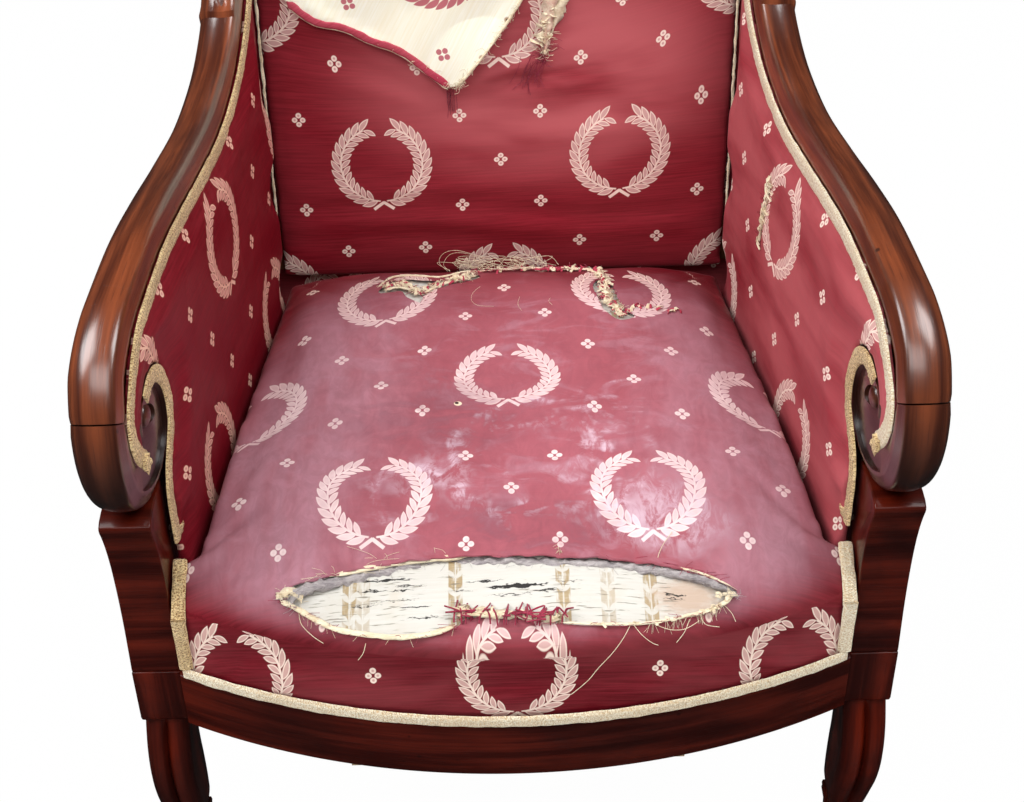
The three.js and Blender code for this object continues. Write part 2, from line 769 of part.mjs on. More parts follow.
// The whole seat as a closed form, drawn in all round by an inset and standing on its base
function seatBody(inset, base) {
  const across = 10;
  const along = 9;
  const points = [];
  const rim = [];
  for (let j = 0; j <= along; j += 1) {
    for (let i = 0; i <= across; i += 1) {
      const u = Math.sin((2 * i / across - 1) * Math.PI / 2.3) / Math.sin(Math.PI / 2.3);
      const v = (j / along) ** 1.5;
      const guess = lerp(-40, SEAT_BACK, v);
      const x = u * (seatHalf(Math.max(guess, 0)) - inset);
      const y = lerp(bowFront(x) + 1 + inset, SEAT_BACK - inset, v);
      const half = seatHalf(y) - inset;
      points.push(v3(u * half, y, seatHeight(u * half, y) - inset));
    }
  }
  const row = across + 1;
  for (let i = 0; i < across; i += 1) {
    rim.push(i);
  }
  for (let j = 0; j < along; j += 1) {
    rim.push(j * row + across);
  }
  for (let i = across; i > 0; i -= 1) {
    rim.push(along * row + i);
  }
  for (let j = along; j > 0; j -= 1) {
    rim.push(j * row);
  }
  const index = [];
  for (let j = 0; j < along; j += 1) {
    for (let i = 0; i < across; i += 1) {
      const a = j * row + i;
      index.push(a, a + 1, a + row + 1, a, a + row + 1, a + row);
    }
  }
  const start = points.length;
  rim.forEach((k) => points.push(v3(points[k].x, points[k].y, base)));
  rim.forEach((k, i) => {
    const next = (i + 1) % rim.length;
    index.push(k, start + i, start + next, k, start + next, rim[next]);
  });
  const outline = rim.map((k) => v2(points[k].x, points[k].y));
  for (const [a, b, c] of THREE.ShapeUtils.triangulateShape(outline, [])) {
    index.push(start + a, start + c, start + b);
  }
  return toSolid(closedGeometry(points, index));
}

const UNDER_SEAT = -10;
const skin = (inset, thick) => seatBody(inset, GAP).subtract(seatBody(inset + thick, UNDER_SEAT));

// Almond-shaped tear, cut along a direction that meets the cloth square on
function tear(length, width, centre, lean) {
  const outline = new THREE.Shape();
  outline.moveTo(-length / 2, 0);
  outline.quadraticCurveTo(0, width, length / 2, 0);
  outline.quadraticCurveTo(0, -width, -length / 2, 0);
  const geometry = new THREE.ExtrudeGeometry(outline, { depth: 90, bevelEnabled: false, curveSegments: 8 });
  geometry.rotateX(lean);
  geometry.translate(centre[0], centre[1], centre[2]);
  return toSolid(geometry);
}

const COVER_INSET = 0;
const WADDING_INSET = COVER_INSET + CLOTH + GAP;
const OLD_COVER_INSET = WADDING_INSET + WADDING + GAP;
const STUFFING_INSET = OLD_COVER_INSET + CLOTH + GAP;
const FRONT_TEAR = [-4, 8, 44];
const TEAR_LEAN = Math.PI * 0.19;
const FRONT_TEAR_LENGTH = 336;
const COVER_GAPE = 62;
const WADDING_GAPE = 54;
const rearTears = [tear(74, 14, [-96, 404, 40], 0), tear(84, 22, [86, 398, 40], 0)];

function tornSkin(inset, thick, width) {
  let torn = skin(inset, thick).subtract(tear(FRONT_TEAR_LENGTH, width, FRONT_TEAR, TEAR_LEAN));
  for (const cut of rearTears) {
    torn = torn.subtract(cut);
  }
  return toGeometry(torn);
}

// Hessian is tacked over the rails and the springs, and the stuffing lies flat on it
const HESSIAN = 1.2;
const stuffingOutline = seatBody(STUFFING_INSET, GAP);
const hessianLayer = toSolid(block([-POST_OUTER, -BOW - 40, 0], [POST_OUTER, SEAT_BACK + 20, GAP + HESSIAN]));
addPiece('seat_cover', tornSkin(COVER_INSET, CLOTH, COVER_GAPE), crimson());
addPiece('seat_wadding', tornSkin(WADDING_INSET, WADDING, WADDING_GAPE), wadding());
addPiece('seat_old_cover', toGeometry(skin(OLD_COVER_INSET, CLOTH)), cream());
addPiece('seat_stuffing', toGeometry(seatBody(STUFFING_INSET, 2 * GAP + HESSIAN)), jute());
addPiece('seat_hessian', toGeometry(stuffingOutline.intersect(hessianLayer)), jute());

// Inside arm panels: padded cloth panels let into the rebate of the arm, notched round the volute

function bandInside(degrees) {
  const past = (degrees - JOINT_ANGLE) / (TONGUE_END - JOINT_ANGLE);
  return lerp(BAND_START, BAND_END, THREE.MathUtils.clamp(past, 0, 1));
}

// Line inside the arm and round the roll, a given depth below the crown. Past the joint a shallow line follows
// the scroll's band, and a line deeper than the arm keeps its depth
function armEdge(inset, from, to) {
  const steps = 11;
  const roll = Math.max(Math.round((to - 90) / 18), 1);
  const points = [];
  for (let i = 0; i < steps; i += 1) {
    const { at, inward } = crownStation(lerp(from, 1, i / steps));
    points.push(v2(at.x + inward.x * inset, at.y + inward.y * inset));
  }
  for (let i = 0; i <= roll; i += 1) {
    const degrees = lerp(90, to, i / roll);
    const past = smooth((degrees - 90) / (JOINT_ANGLE - 90));
    const onScroll = bandInside(degrees) - (inset - REVEAL);
    const underArm = voluteRadius(degrees) - inset;
    const isDeep = inset > ARM_DEPTH;
    const radius = isDeep ? underArm : Math.min(underArm, lerp(underArm, onScroll, past));
    points.push(volutePoint(degrees, radius));
  }
  return points;
}

function eyeEdge(from, to, clear) {
  const points = [];
  const steps = 9;
  for (let i = 0; i <= steps; i += 1) {
    const degrees = lerp(from, to, i / steps);
    points.push(volutePoint(degrees, voluteRadius(Math.min(degrees, EYE_END)) + clear));
  }
  return points;
}

// Back edge of the console, going down from behind the scroll
const EYE_FOOT = 312;
const consoleBack = (clear, foot) => [
  v2(POST_DEPTH + 4 + clear, CAP_HEIGHT - 8),
  v2(POST_DEPTH + 1.5 + clear, 100),
  v2(POST_DEPTH + clear, foot),
];

// Outline of a side: up the back, forward under the arm, round the tongue and the eye, down behind the console
function sidePanel(edge, tipDegrees, clear) {
  return new THREE.Shape([
    v2(stileFront(GAP) - 2, GAP),
    ...edge,
    ...eyeEdge(360 + tipDegrees, EYE_FOOT, clear),
    ...consoleBack(clear, GAP),
  ]);
}

const PANEL_CLEAR = 2.2;
const PANEL_START = 0.225;
const PANEL_PROUD = 1;
const SWELL = 4;

function armPanel() {
  const edge = armEdge(REVEAL + 2, PANEL_START, TONGUE_END - 7);
  const plate = new THREE.ExtrudeGeometry(sidePanel(edge, TONGUE_END - 12, PANEL_CLEAR), {
    depth: REBATE - 1 + PANEL_PROUD,
    bevelEnabled: false,
  });
  // The stuffed part stands off the plate, inside the margin that the braid covers
  const margin = BRAID + 5;
  const stuffed = new THREE.Shape([
    v2(stileFront(0) - margin, 2),
    ...armEdge(REVEAL + margin, PANEL_START + 0.06, 100),
    ...eyeEdge(452, EYE_FOOT, margin),
    ...consoleBack(margin, 2),
  ]);
  const swell = new THREE.ExtrudeGeometry(stuffed, {
    depth: SWELL,
    bevelEnabled: true,
    bevelSize: SWELL,
    bevelOffset: -SWELL,
    bevelThickness: SWELL,
    bevelSegments: 2,
  });
  const flat = toSolid(fromSideView(plate, POST_INNER - PANEL_PROUD, SPLAY));
  return toGeometry(flat.add(toSolid(fromSideView(swell, POST_INNER - PANEL_PROUD - SWELL, SPLAY))));
}

function outsideArmCover() {
  const edge = armEdge(ARM_DEPTH + 1, 0.32, JOINT_ANGLE - 3);
  const geometry = new THREE.ExtrudeGeometry(sidePanel(edge, JOINT_ANGLE - 3, PANEL_CLEAR), {
    depth: 2.5,
    bevelEnabled: false,
  });
  return fromSideView(geometry, POST_INNER + 30, SPLAY);
}

addPair('arm_panel', armPanel(), crimson);
addPair('outside_arm_cover', outsideArmCover(), crimson);

// Back: lower rail, pad, outside cover and the peeled corner of the cover

const PAD_BOTTOM = 52;
const PAD_HALF_LOW = 203;
const PAD_HALF_HIGH = 212;

function backPad() {
  const outline = new THREE.Shape();
  const top = STILE_TOP - 3 - PAD_BOTTOM;
  outline.moveTo(-PAD_HALF_LOW, 0);
  outline.lineTo(PAD_HALF_LOW, 0);
  outline.lineTo(PAD_HALF_HIGH, top);
  outline.lineTo(-PAD_HALF_HIGH, top);
  outline.closePath();
  const swell = 7;
  const geometry = new THREE.ExtrudeGeometry(outline, {
    depth: PAD_THICK - 2 * swell,
    bevelEnabled: true,
    bevelSize: swell,
    bevelOffset: -swell,
    bevelThickness: swell,
    bevelSegments: 3,
  });
  return standInBack(geometry, PAD_FRONT + swell + BACK_LEAN * PAD_BOTTOM, PAD_BOTTOM);
}

// Rail under the pad, and the cloth over the whole back, both between the uprights
const RAIL_BEHIND = PAD_FRONT + PAD_THICK + 1;
const LOWER_RAIL_DEPTH = 46;
const LOWER_RAIL_THICK = 9;
const OUTSIDE_BACK_THICK = 1.8;

function betweenUprights(low, high, thick) {
  return block([-BETWEEN_STILES, low, 0], [BETWEEN_STILES, high, thick]);
}

const lowerRail = betweenUprights(0, LOWER_RAIL_DEPTH, LOWER_RAIL_THICK);
const outsideBack = betweenUprights(0, STILE_TOP - 4, OUTSIDE_BACK_THICK);
addPiece('back_pad', backPad(), crimson());
standInBack(lowerRail, RAIL_BEHIND + BACK_LEAN * PAD_BOTTOM, PAD_BOTTOM);
standInBack(outsideBack, RAIL_BEHIND + LOWER_RAIL_THICK + 0.5, 1);
addPiece('back_lower_rail', lowerRail, plainWood());
addPiece('outside_back_cover', outsideBack, crimson());

// The peeled corner hangs point down. It is drawn from behind, so the viewer's left is on the right here
function backFlap() {
  const top = STILE_TOP - 6;
  const outline = new THREE.Shape([v2(196, 366), v2(44, 262), v2(-18, 344), v2(-150, top), v2(196, top)]);
  const geometry = new THREE.ExtrudeGeometry(outline, { depth: CLOTH, bevelEnabled: false });
  return standInBack(geometry, PAD_FRONT - CLOTH - 1, 0);
}

addPiece('back_flap', backFlap(), cream());

// Braid, glued over the tacked edges of the cloth

function frontBraid() {
  const steps = 20;
  const reach = POST_INNER - 4;
  const lines = [];
  for (let i = 0; i <= steps; i += 1) {
    lines.push(lerp(-reach, reach, i / steps));
  }
  const section = [v2(-BRAID_THICK, 2 * GAP), v2(-GAP, 2 * GAP), v2(-GAP, BRAID), v2(-BRAID_THICK, BRAID)];
  return loft(lines.map(() => section), (i, p) => v3(lines[i], bowFront(lines[i]) + p.x, p.y));
}

// Corner braid: up the front corner of the seat beside the console, then back over the seat's edge
function cornerBraid() {
  const faceHeights = [BRAID + GAP, 38, SEAT_EDGE - 8];
  const rolls = [0.02, 0.12, 0.3, 0.55, 0.85];
  const outer = POST_INNER - 1.6;
  const stations = [
    ...faceHeights.map((height) => ({ height, back: 0, onFace: true })),
    ...rolls.map((roll) => ({ height: 0, back: roll * SEAT_ROLL, onFace: false })),
  ];
  const section = [v2(0, 0), v2(BRAID, 0), v2(BRAID, BRAID_THICK), v2(0, BRAID_THICK)];
  return loft(stations.map(() => section), (i, p) => {
    const { height, back, onFace } = stations[i];
    const x = outer - p.x;
    const lift = 0.5 + p.y;
    if (onFace) {
      return v3(x, bowFront(x) + 1 - lift, height);
    }
    const y = bowFront(x) + 1 + back;
    const lean = 1 - back / SEAT_ROLL;
    return v3(x, y - lift * lean, seatHeight(x, y) + lift * (1 - lean * lean * 0.6));
  });
}

// A flat braid on the margin of the arm panel, along a line in the side view
function panelBraid(points) {
  const line = new THREE.SplineCurve(points);
  const steps = points.length + 4;
  const stations = [];
  for (let i = 0; i <= steps; i += 1) {
    const along = line.getTangent(i / steps);
    stations.push({ at: line.getPoint(i / steps), side: v2(-along.y, along.x) });
  }
  const section = [v2(0, 0), v2(BRAID, 0), v2(BRAID, BRAID_THICK), v2(0, BRAID_THICK)];
  return loft(stations.map(() => section), (i, p) => {
    const y = stations[i].at.x + stations[i].side.x * p.x;
    const z = stations[i].at.y + stations[i].side.y * p.x;
    return v3(POST_INNER - SPLAY * y - PANEL_PROUD - GAP - p.y, y, z);
  });
}

const armBraid = () => panelBraid(armEdge(REVEAL + 2.5, PANEL_START + 0.02, TONGUE_END - 9));

// From behind the console up and over the eye, to where the eye meets the tongue
function voluteBraid() {
  const upBehindConsole = consoleBack(PANEL_CLEAR, 104).reverse();
  return panelBraid([...upBehindConsole, ...eyeEdge(EYE_FOOT, 480, PANEL_CLEAR)]);
}

addPiece('front_braid', frontBraid(), braidMaterial());
addPair('corner_braid', cornerBraid(), braidMaterial);
addPair('arm_braid', armBraid(), braidMaterial);
addPair('volute_braid', voluteBraid(), braidMaterial);

// The chair stands on z = 0 with the middle of its box over the origin
const bounds = new THREE.Box3().setFromObject(chair);
frame.position.x -= (bounds.min.x + bounds.max.x) / 2;
frame.position.y -= (bounds.min.y + bounds.max.y) / 2;
frame.position.z -= bounds.min.z;

export default chair;
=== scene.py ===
import bpy
import bmesh
import math
import numpy as np
from mathutils import Matrix, Vector, noise


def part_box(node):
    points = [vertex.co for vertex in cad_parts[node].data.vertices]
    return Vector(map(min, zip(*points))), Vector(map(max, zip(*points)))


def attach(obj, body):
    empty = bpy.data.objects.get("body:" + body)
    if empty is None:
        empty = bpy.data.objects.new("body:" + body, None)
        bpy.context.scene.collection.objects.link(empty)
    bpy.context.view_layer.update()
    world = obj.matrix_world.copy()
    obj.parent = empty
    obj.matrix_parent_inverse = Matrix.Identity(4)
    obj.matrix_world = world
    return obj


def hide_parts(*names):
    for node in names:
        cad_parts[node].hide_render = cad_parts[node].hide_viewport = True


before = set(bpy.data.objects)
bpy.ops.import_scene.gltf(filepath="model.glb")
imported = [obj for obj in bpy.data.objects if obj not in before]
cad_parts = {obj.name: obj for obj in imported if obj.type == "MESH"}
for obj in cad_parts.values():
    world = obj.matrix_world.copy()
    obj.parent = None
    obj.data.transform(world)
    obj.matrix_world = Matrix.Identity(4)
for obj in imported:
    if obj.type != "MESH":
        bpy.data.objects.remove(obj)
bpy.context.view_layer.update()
scene = bpy.context.scene
print("frame loaded")

# Drawing measures are millimetres: x across, y from the front posts to the back, z up from the top of the
# seat rails
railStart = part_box("side_rail_right")[0]
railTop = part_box("side_rail_right")[1][2] + 0.0003
postFront = railStart[1] - 0.0443


def place(x, y, z):
    return Vector((x / 1000, y / 1000 + postFront, z / 1000 + railTop))


def drawn(coordinates):
    # world metres back to drawing millimetres, for a whole array of points
    x = coordinates[:, 0] * 1000
    y = (coordinates[:, 1] - postFront) * 1000
    z = (coordinates[:, 2] - railTop) * 1000
    return x, y, z


def lerp(a, b, t):
    return a + (b - a) * t


def ease(t):
    # from 0 to 1 without a corner at either end, for one number or a whole array
    t = np.clip(t, 0.0, 1.0)
    return t * t * (3 - 2 * t)


def alongCurve(points, t):
    # the smooth line through a row of points, from 0 at the first to 1 at the last
    spot = (len(points) - 1) * min(max(t, 0.0), 1.0)
    i = min(int(spot), len(points) - 2)
    w = spot - i
    before, start, end, after = (
        points[max(i - 1, 0)], points[i], points[i + 1], points[min(i + 2, len(points) - 1)],
    )
    result = []
    for a, b, c, d in zip(before, start, end, after):
        rise, fall = (c - a) / 2, (d - b) / 2
        result.append(
            (2 * b - 2 * c + rise + fall) * w ** 3 + (3 * c - 3 * b - 2 * rise - fall) * w ** 2 + rise * w
            + b
        )
    return result


def denseCurve(points, count):
    return [alongCurve(points, i / (count - 1)) for i in range(count)]


def evenCurve(points, step):
    # the same line in even steps of length
    dense = np.array(denseCurve(points, 24 * len(points)))
    lengths = np.concatenate([[0], np.cumsum(np.linalg.norm(np.diff(dense, axis=0), axis=1))])
    count = max(int(lengths[-1] / step), 2)
    marks = np.linspace(0, lengths[-1], count + 1)
    return np.stack([np.interp(marks, lengths, dense[:, k]) for k in range(dense.shape[1])], axis=1)


def clearSelection():
    if bpy.context.object and bpy.context.object.mode != "OBJECT":
        bpy.ops.object.mode_set(mode="OBJECT")
    bpy.ops.object.select_all(action="DESELECT")


def pick(piece):
    clearSelection()
    piece.select_set(True)
    bpy.context.view_layer.objects.active = piece


def applyModifier(piece, kind, **settings):
    pick(piece)
    modifier = piece.modifiers.new(kind.title(), kind)
    for key, value in settings.items():
        setattr(modifier, key, value)
    bpy.ops.object.modifier_apply(modifier=modifier.name)


def smoothShade(piece, degrees=35):
    pick(piece)
    bpy.ops.object.shade_smooth_by_angle(angle=math.radians(degrees))


def putMaterial(piece, *materials):
    piece.data.materials.clear()
    for material in materials:
        piece.data.materials.append(material)


def rideAs(piece, slot, *nodes):
    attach(piece, "root")
    if nodes:
        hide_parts(*nodes)


def twin(piece, name):
    # the same piece on the other side of the chair
    other = piece.copy()
    other.data = piece.data.copy()
    other.name = name
    bpy.context.collection.objects.link(other)
    other.data.transform(Matrix.Scale(-1, 4, (1, 0, 0)))
    other.data.flip_normals()
    return other


def joinPieces(pieces, name):
    clearSelection()
    for piece in pieces:
        piece.select_set(True)
    bpy.context.view_layer.objects.active = pieces[0]
    bpy.ops.object.join()
    pieces[0].name = name
    return pieces[0]


# Camera, light and floor

camera = {
    "spot": (-11, -975, 1035),
    "yaw": 0.69,
    "pitch": 38.43,
    "roll": -1.04,
    "focalPixels": 1800,
    "imageWidth": 1024,
}


def setCamera():
    yaw, pitch, roll = (math.radians(camera[k]) for k in ("yaw", "pitch", "roll"))
    forward = Vector((math.sin(yaw) * math.cos(pitch), math.cos(yaw) * math.cos(pitch), -math.sin(pitch)))
    level = Vector((math.cos(yaw), -math.sin(yaw), 0))
    upright = level.cross(forward)
    right = math.cos(roll) * level + math.sin(roll) * upright
    up = -math.sin(roll) * level + math.cos(roll) * upright
    turn = Matrix((right, up, -forward)).transposed()
    data = bpy.data.cameras.new("photoCamera")
    data.sensor_width = 36
    data.lens = 36 * camera["focalPixels"] / camera["imageWidth"]
    data.clip_end = 50
    eye = bpy.data.objects.new("photoCamera", data)
    eye.matrix_world = Matrix.Translation(place(*camera["spot"])) @ turn.to_4x4()
    bpy.context.collection.objects.link(eye)
    scene.camera = eye


setCamera()
scene.view_settings.view_transform = "Standard"

# each lamp: where it stands, what it looks at, its width and height, its power
lamps = {
    "leftTop": {"spot": (-1.9, -0.45, 2.95), "aim": (0, 0, 0.5), "size": (1.6, 1.8), "power": 82},
    "rightTop": {"spot": (1.5, -0.55, 3.2), "aim": (0, 0, 0.5), "size": (1.4, 1.6), "power": 62},
    "frontTop": {"spot": (-0.3, -2.4, 3.3), "aim": (0, 0, 0.5), "size": (2.6, 1.2), "power": 42},
}


def setLamps():
    for name, lamp in lamps.items():
        data = bpy.data.lights.new(name, "AREA")
        data.shape = "RECTANGLE"
        data.size, data.size_y = lamp["size"]
        data.energy = lamp["power"]
        box = bpy.data.objects.new(name, data)
        box.location = lamp["spot"]
        aim = Vector(lamp["aim"]) - Vector(lamp["spot"])
        box.rotation_euler = aim.to_track_quat("-Z", "Y").to_euler()
        bpy.context.collection.objects.link(box)


setLamps()


class Signal:
    # a number on its way through a node tree, so that a pattern can be written as a formula
    def __init__(self, tree, socket):
        self.tree = tree
        self.socket = socket

    def __add__(self, other):
        return sums(self.tree, "ADD", self, other)

    def __radd__(self, other):
        return sums(self.tree, "ADD", other, self)

    def __sub__(self, other):
        return sums(self.tree, "SUBTRACT", self, other)

    def __rsub__(self, other):
        return sums(self.tree, "SUBTRACT", other, self)

    def __mul__(self, other):
        return sums(self.tree, "MULTIPLY", self, other)

    def __rmul__(self, other):
        return sums(self.tree, "MULTIPLY", other, self)

    def __truediv__(self, other):
        return sums(self.tree, "DIVIDE", self, other)

    def __abs__(self):
        return sums(self.tree, "ABSOLUTE", self)


def sums(tree, operation, *values):
    node = tree.nodes.new("ShaderNodeMath")
    node.operation = operation
    for socket, value in zip(node.inputs, values):
        connect(tree, value, socket)
    return Signal(tree, node.outputs[0])


def connect(tree, value, socket):
    if isinstance(value, Signal):
        tree.links.new(value.socket, socket)
    elif hasattr(value, "__len__") and len(value) == 3 and socket.type == "RGBA":
        socket.default_value = (*value, 1)
    else:
        socket.default_value = value


def ramp(value, low, high, start=0.0, end=1.0):
    # eases from start to end while the value goes from low to high
    node = value.tree.nodes.new("ShaderNodeMapRange")
    node.interpolation_type = "SMOOTHSTEP"
    connect(value.tree, value, node.inputs["Value"])
    for key, number in (("From Min", low), ("From Max", high), ("To Min", start), ("To Max", end)):
        node.inputs[key].default_value = number
    return Signal(value.tree, node.outputs[0])


def larger(a, b):
    return sums(a.tree, "MAXIMUM", a, b)


def smaller(a, b):
    return sums(a.tree, "MINIMUM", a, b)


def largest(parts):
    whole = parts[0]
    for part in parts[1:]:
        whole = larger(whole, part)
    return whole


def length2(a, b):
    return sums(a.tree, "SQRT", a * a + b * b)


def split(tree, vector):
    node = tree.nodes.new("ShaderNodeSeparateXYZ")
    tree.links.new(vector.socket, node.inputs[0])
    return [Signal(tree, output) for output in node.outputs]


def clouds(tree, vector, scale, stretch=(1, 1, 1), detail=3.0, rough=0.5, twist=0.0, shift=(0, 0, 0)):
    mapping = tree.nodes.new("ShaderNodeMapping")
    tree.links.new(vector.socket, mapping.inputs["Vector"])
    mapping.inputs["Scale"].default_value = stretch
    mapping.inputs["Location"].default_value = shift
    node = tree.nodes.new("ShaderNodeTexNoise")
    tree.links.new(mapping.outputs[0], node.inputs["Vector"])
    for key, number in (("Scale", scale), ("Detail", detail), ("Roughness", rough), ("Distortion", twist)):
        node.inputs[key].default_value = number
    return Signal(tree, node.outputs[0])


def blend(tree, factor, first, second):
    node = tree.nodes.new("ShaderNodeMix")
    node.data_type = "RGBA"
    connect(tree, factor, node.inputs[0])
    connect(tree, first, node.inputs[6])
    connect(tree, second, node.inputs[7])
    return Signal(tree, node.outputs[2])


def makeGroup(name, inputs, outputs):
    tree = bpy.data.node_groups.new(name, "ShaderNodeTree")
    for key, (kind, number) in inputs.items():
        socket = tree.interface.new_socket(key, in_out="INPUT", socket_type=kind)
        if number is not None:
            socket.default_value = number
    for key, kind in outputs.items():
        tree.interface.new_socket(key, in_out="OUTPUT", socket_type=kind)
    entry = tree.nodes.new("NodeGroupInput")
    leave = tree.nodes.new("NodeGroupOutput")
    given = {key: Signal(tree, entry.outputs[key]) for key in inputs}
    return tree, given, leave


def useGroup(tree, group, **values):
    node = tree.nodes.new("ShaderNodeGroup")
    node.node_tree = group
    for key, value in values.items():
        connect(tree, value, node.inputs[key])
    return {output.name: Signal(tree, output) for output in node.outputs}


def startMaterial(name, **settings):
    material = bpy.data.materials.new(name)
    material.use_nodes = True
    tree = material.node_tree
    shader = tree.nodes["Principled BSDF"]
    for key, value in settings.items():
        connect(tree, value, shader.inputs[key.replace("_", " ")])
    return material, tree, shader


def addBump(tree, shader, height, distance, strength=1.0):
    node = tree.nodes.new("ShaderNodeBump")
    node.inputs["Strength"].default_value = strength
    node.inputs["Distance"].default_value = distance
    connect(tree, height, node.inputs["Height"])
    tree.links.new(node.outputs[0], shader.inputs["Normal"])


def mapSignal(tree, name):
    node = tree.nodes.new("ShaderNodeUVMap")
    node.uv_map = name
    return Signal(tree, node.outputs[0])


def objectSignal(tree):
    node = tree.nodes.new("ShaderNodeTexCoord")
    return Signal(tree, node.outputs["Object"])


floorFinish = {"size": 24, "colour": (0.86, 0.86, 0.86), "whiteness": 0.985, "mirrored": 0.02}


def layFloor():
    clearSelection()
    bpy.ops.mesh.primitive_plane_add(size=floorFinish["size"], location=(0, 0, 0))
    floor = bpy.context.object
    floor.name = "floor"
    material = bpy.data.materials.new("paleFloor")
    material.use_nodes = True
    tree = material.node_tree
    shader = tree.nodes["Principled BSDF"]
    shader.inputs["Roughness"].default_value = 0.9
    grey = clouds(tree, objectSignal(tree), 3.0, detail=2)
    tone = blend(tree, grey, floorFinish["colour"], (0.9, 0.9, 0.9))
    connect(tree, tone, shader.inputs["Base Color"])
    glow = tree.nodes.new("ShaderNodeEmission")
    paths = tree.nodes.new("ShaderNodeLightPath")
    seen = Signal(tree, paths.outputs["Is Camera Ray"])
    mirrored = Signal(tree, paths.outputs["Is Glossy Ray"])
    share = larger(seen * floorFinish["whiteness"], mirrored)
    connect(tree, larger(seen, mirrored * floorFinish["mirrored"]), glow.inputs["Strength"])
    mix = tree.nodes.new("ShaderNodeMixShader")
    tree.links.new(share.socket, mix.inputs[0])
    tree.links.new(shader.outputs[0], mix.inputs[1])
    tree.links.new(glow.outputs[0], mix.inputs[2])
    tree.links.new(mix.outputs[0], tree.nodes["Material Output"].inputs[0])
    putMaterial(floor, material)


studio = {"ambient": 0.32, "mirrored": 0.035}


def setWorld():
    world = bpy.data.worlds.new("studio")
    scene.world = world
    world.use_nodes = True
    tree = world.node_tree
    background = tree.nodes["Background"]
    paths = tree.nodes.new("ShaderNodeLightPath")
    seen = larger(
        Signal(tree, paths.outputs["Is Camera Ray"]), Signal(tree, paths.outputs["Is Transmission Ray"])
    )
    mirrored = Signal(tree, paths.outputs["Is Glossy Ray"])
    strength = larger(seen, ramp(mirrored, 0.0, 1.0, studio["ambient"], studio["mirrored"]))
    tree.links.new(strength.socket, background.inputs["Strength"])
    background.inputs["Color"].default_value = (1, 1, 1, 1)


layFloor()
setWorld()
print("camera, lamps and floor ready")

# Shared effects: grain, weave, wreaths, grime


def makeGrain():
    # wood grain from a map in metres: x across the board, y along it
    tree, given, leave = makeGroup(
        "mahoganyGrain",
        {"Vector": ("NodeSocketVector", None), "Figure": ("NodeSocketFloat", 1.0)},
        {"Figure": "NodeSocketFloat", "Pores": "NodeSocketFloat"},
    )
    vector = given["Vector"]
    bands = clouds(tree, vector, 60, stretch=(1.0, 0.07, 1.0), detail=4, twist=0.6)
    flame = clouds(tree, vector, 9, stretch=(1.0, 0.35, 1.0), detail=3, twist=1.2)
    lines = clouds(tree, vector, 420, stretch=(1.0, 0.03, 1.0), detail=2)
    figure = ramp(bands * 0.5 + flame * 0.35 + lines * 0.15, 0.40, 0.61)
    tree.links.new((figure * given["Figure"]).socket, leave.inputs["Figure"])
    pores = clouds(tree, vector, 900, stretch=(1.0, 0.035, 1.0), detail=1)
    tree.links.new(ramp(pores, 0.6, 0.72).socket, leave.inputs["Pores"])
    return tree


def makeGrime():
    # dirt and rubbing that clouds over any surface, from its own coordinates in metres
    tree, given, leave = makeGroup(
        "ageMarks",
        {"Vector": ("NodeSocketVector", None), "Scale": ("NodeSocketFloat", 1.0)},
        {"Cloud": "NodeSocketFloat", "Specks": "NodeSocketFloat", "Scratches": "NodeSocketFloat"},
    )
    vector = given["Vector"]
    scaled = tree.nodes.new("ShaderNodeVectorMath")
    scaled.operation = "SCALE"
    tree.links.new(vector.socket, scaled.inputs[0])
    tree.links.new(given["Scale"].socket, scaled.inputs["Scale"])
    local = Signal(tree, scaled.outputs[0])
    cloud = clouds(tree, local, 7, detail=5, rough=0.6, twist=0.8)
    tree.links.new(ramp(cloud, 0.38, 0.68).socket, leave.inputs["Cloud"])
    specks = tree.nodes.new("ShaderNodeTexVoronoi")
    specks.inputs["Scale"].default_value = 55
    tree.links.new(local.socket, specks.inputs["Vector"])
    spread = clouds(tree, local, 21, detail=2)
    dots = ramp(Signal(tree, specks.outputs["Distance"]), 0.05, 0.14, 1.0, 0.0) * ramp(spread, 0.55, 0.62)
    tree.links.new(dots.socket, leave.inputs["Specks"])
    fine = clouds(tree, local, 30, stretch=(1.0, 14.0, 3.0), detail=4, twist=1.5)
    tree.links.new(ramp(fine, 0.66, 0.72).socket, leave.inputs["Scratches"])
    return tree


# The woven pattern: rows of laurel wreaths, each row set over by half, with four-dot lozenges between
wreathPattern = {
    "across": 214.0,
    "rows": 140.0,
    "radius": 49.0,
    "narrow": 46.5,
    "stem": 38.6,
    "leaves": 13,
    "leafLong": 15.5,
    "leafWide": 2.9,
    "leafAngle": 38,
    "firstLeaf": 0.14,
    "lastLeaf": 2.62,
}


def leafMask(along, out, angle, long, wide):
    # one pointed leaf growing from (0, 0); along runs up the stem and out runs away from it
    c, s = math.cos(math.radians(angle)), math.sin(math.radians(angle))
    p = (along * c + out * s) / long
    q = abs(out * c - along * s)
    room = p * (1 - p) * 4 * wide
    return ramp(room - q, -0.25, 0.45), ramp(room - q, 0.75, 1.35)


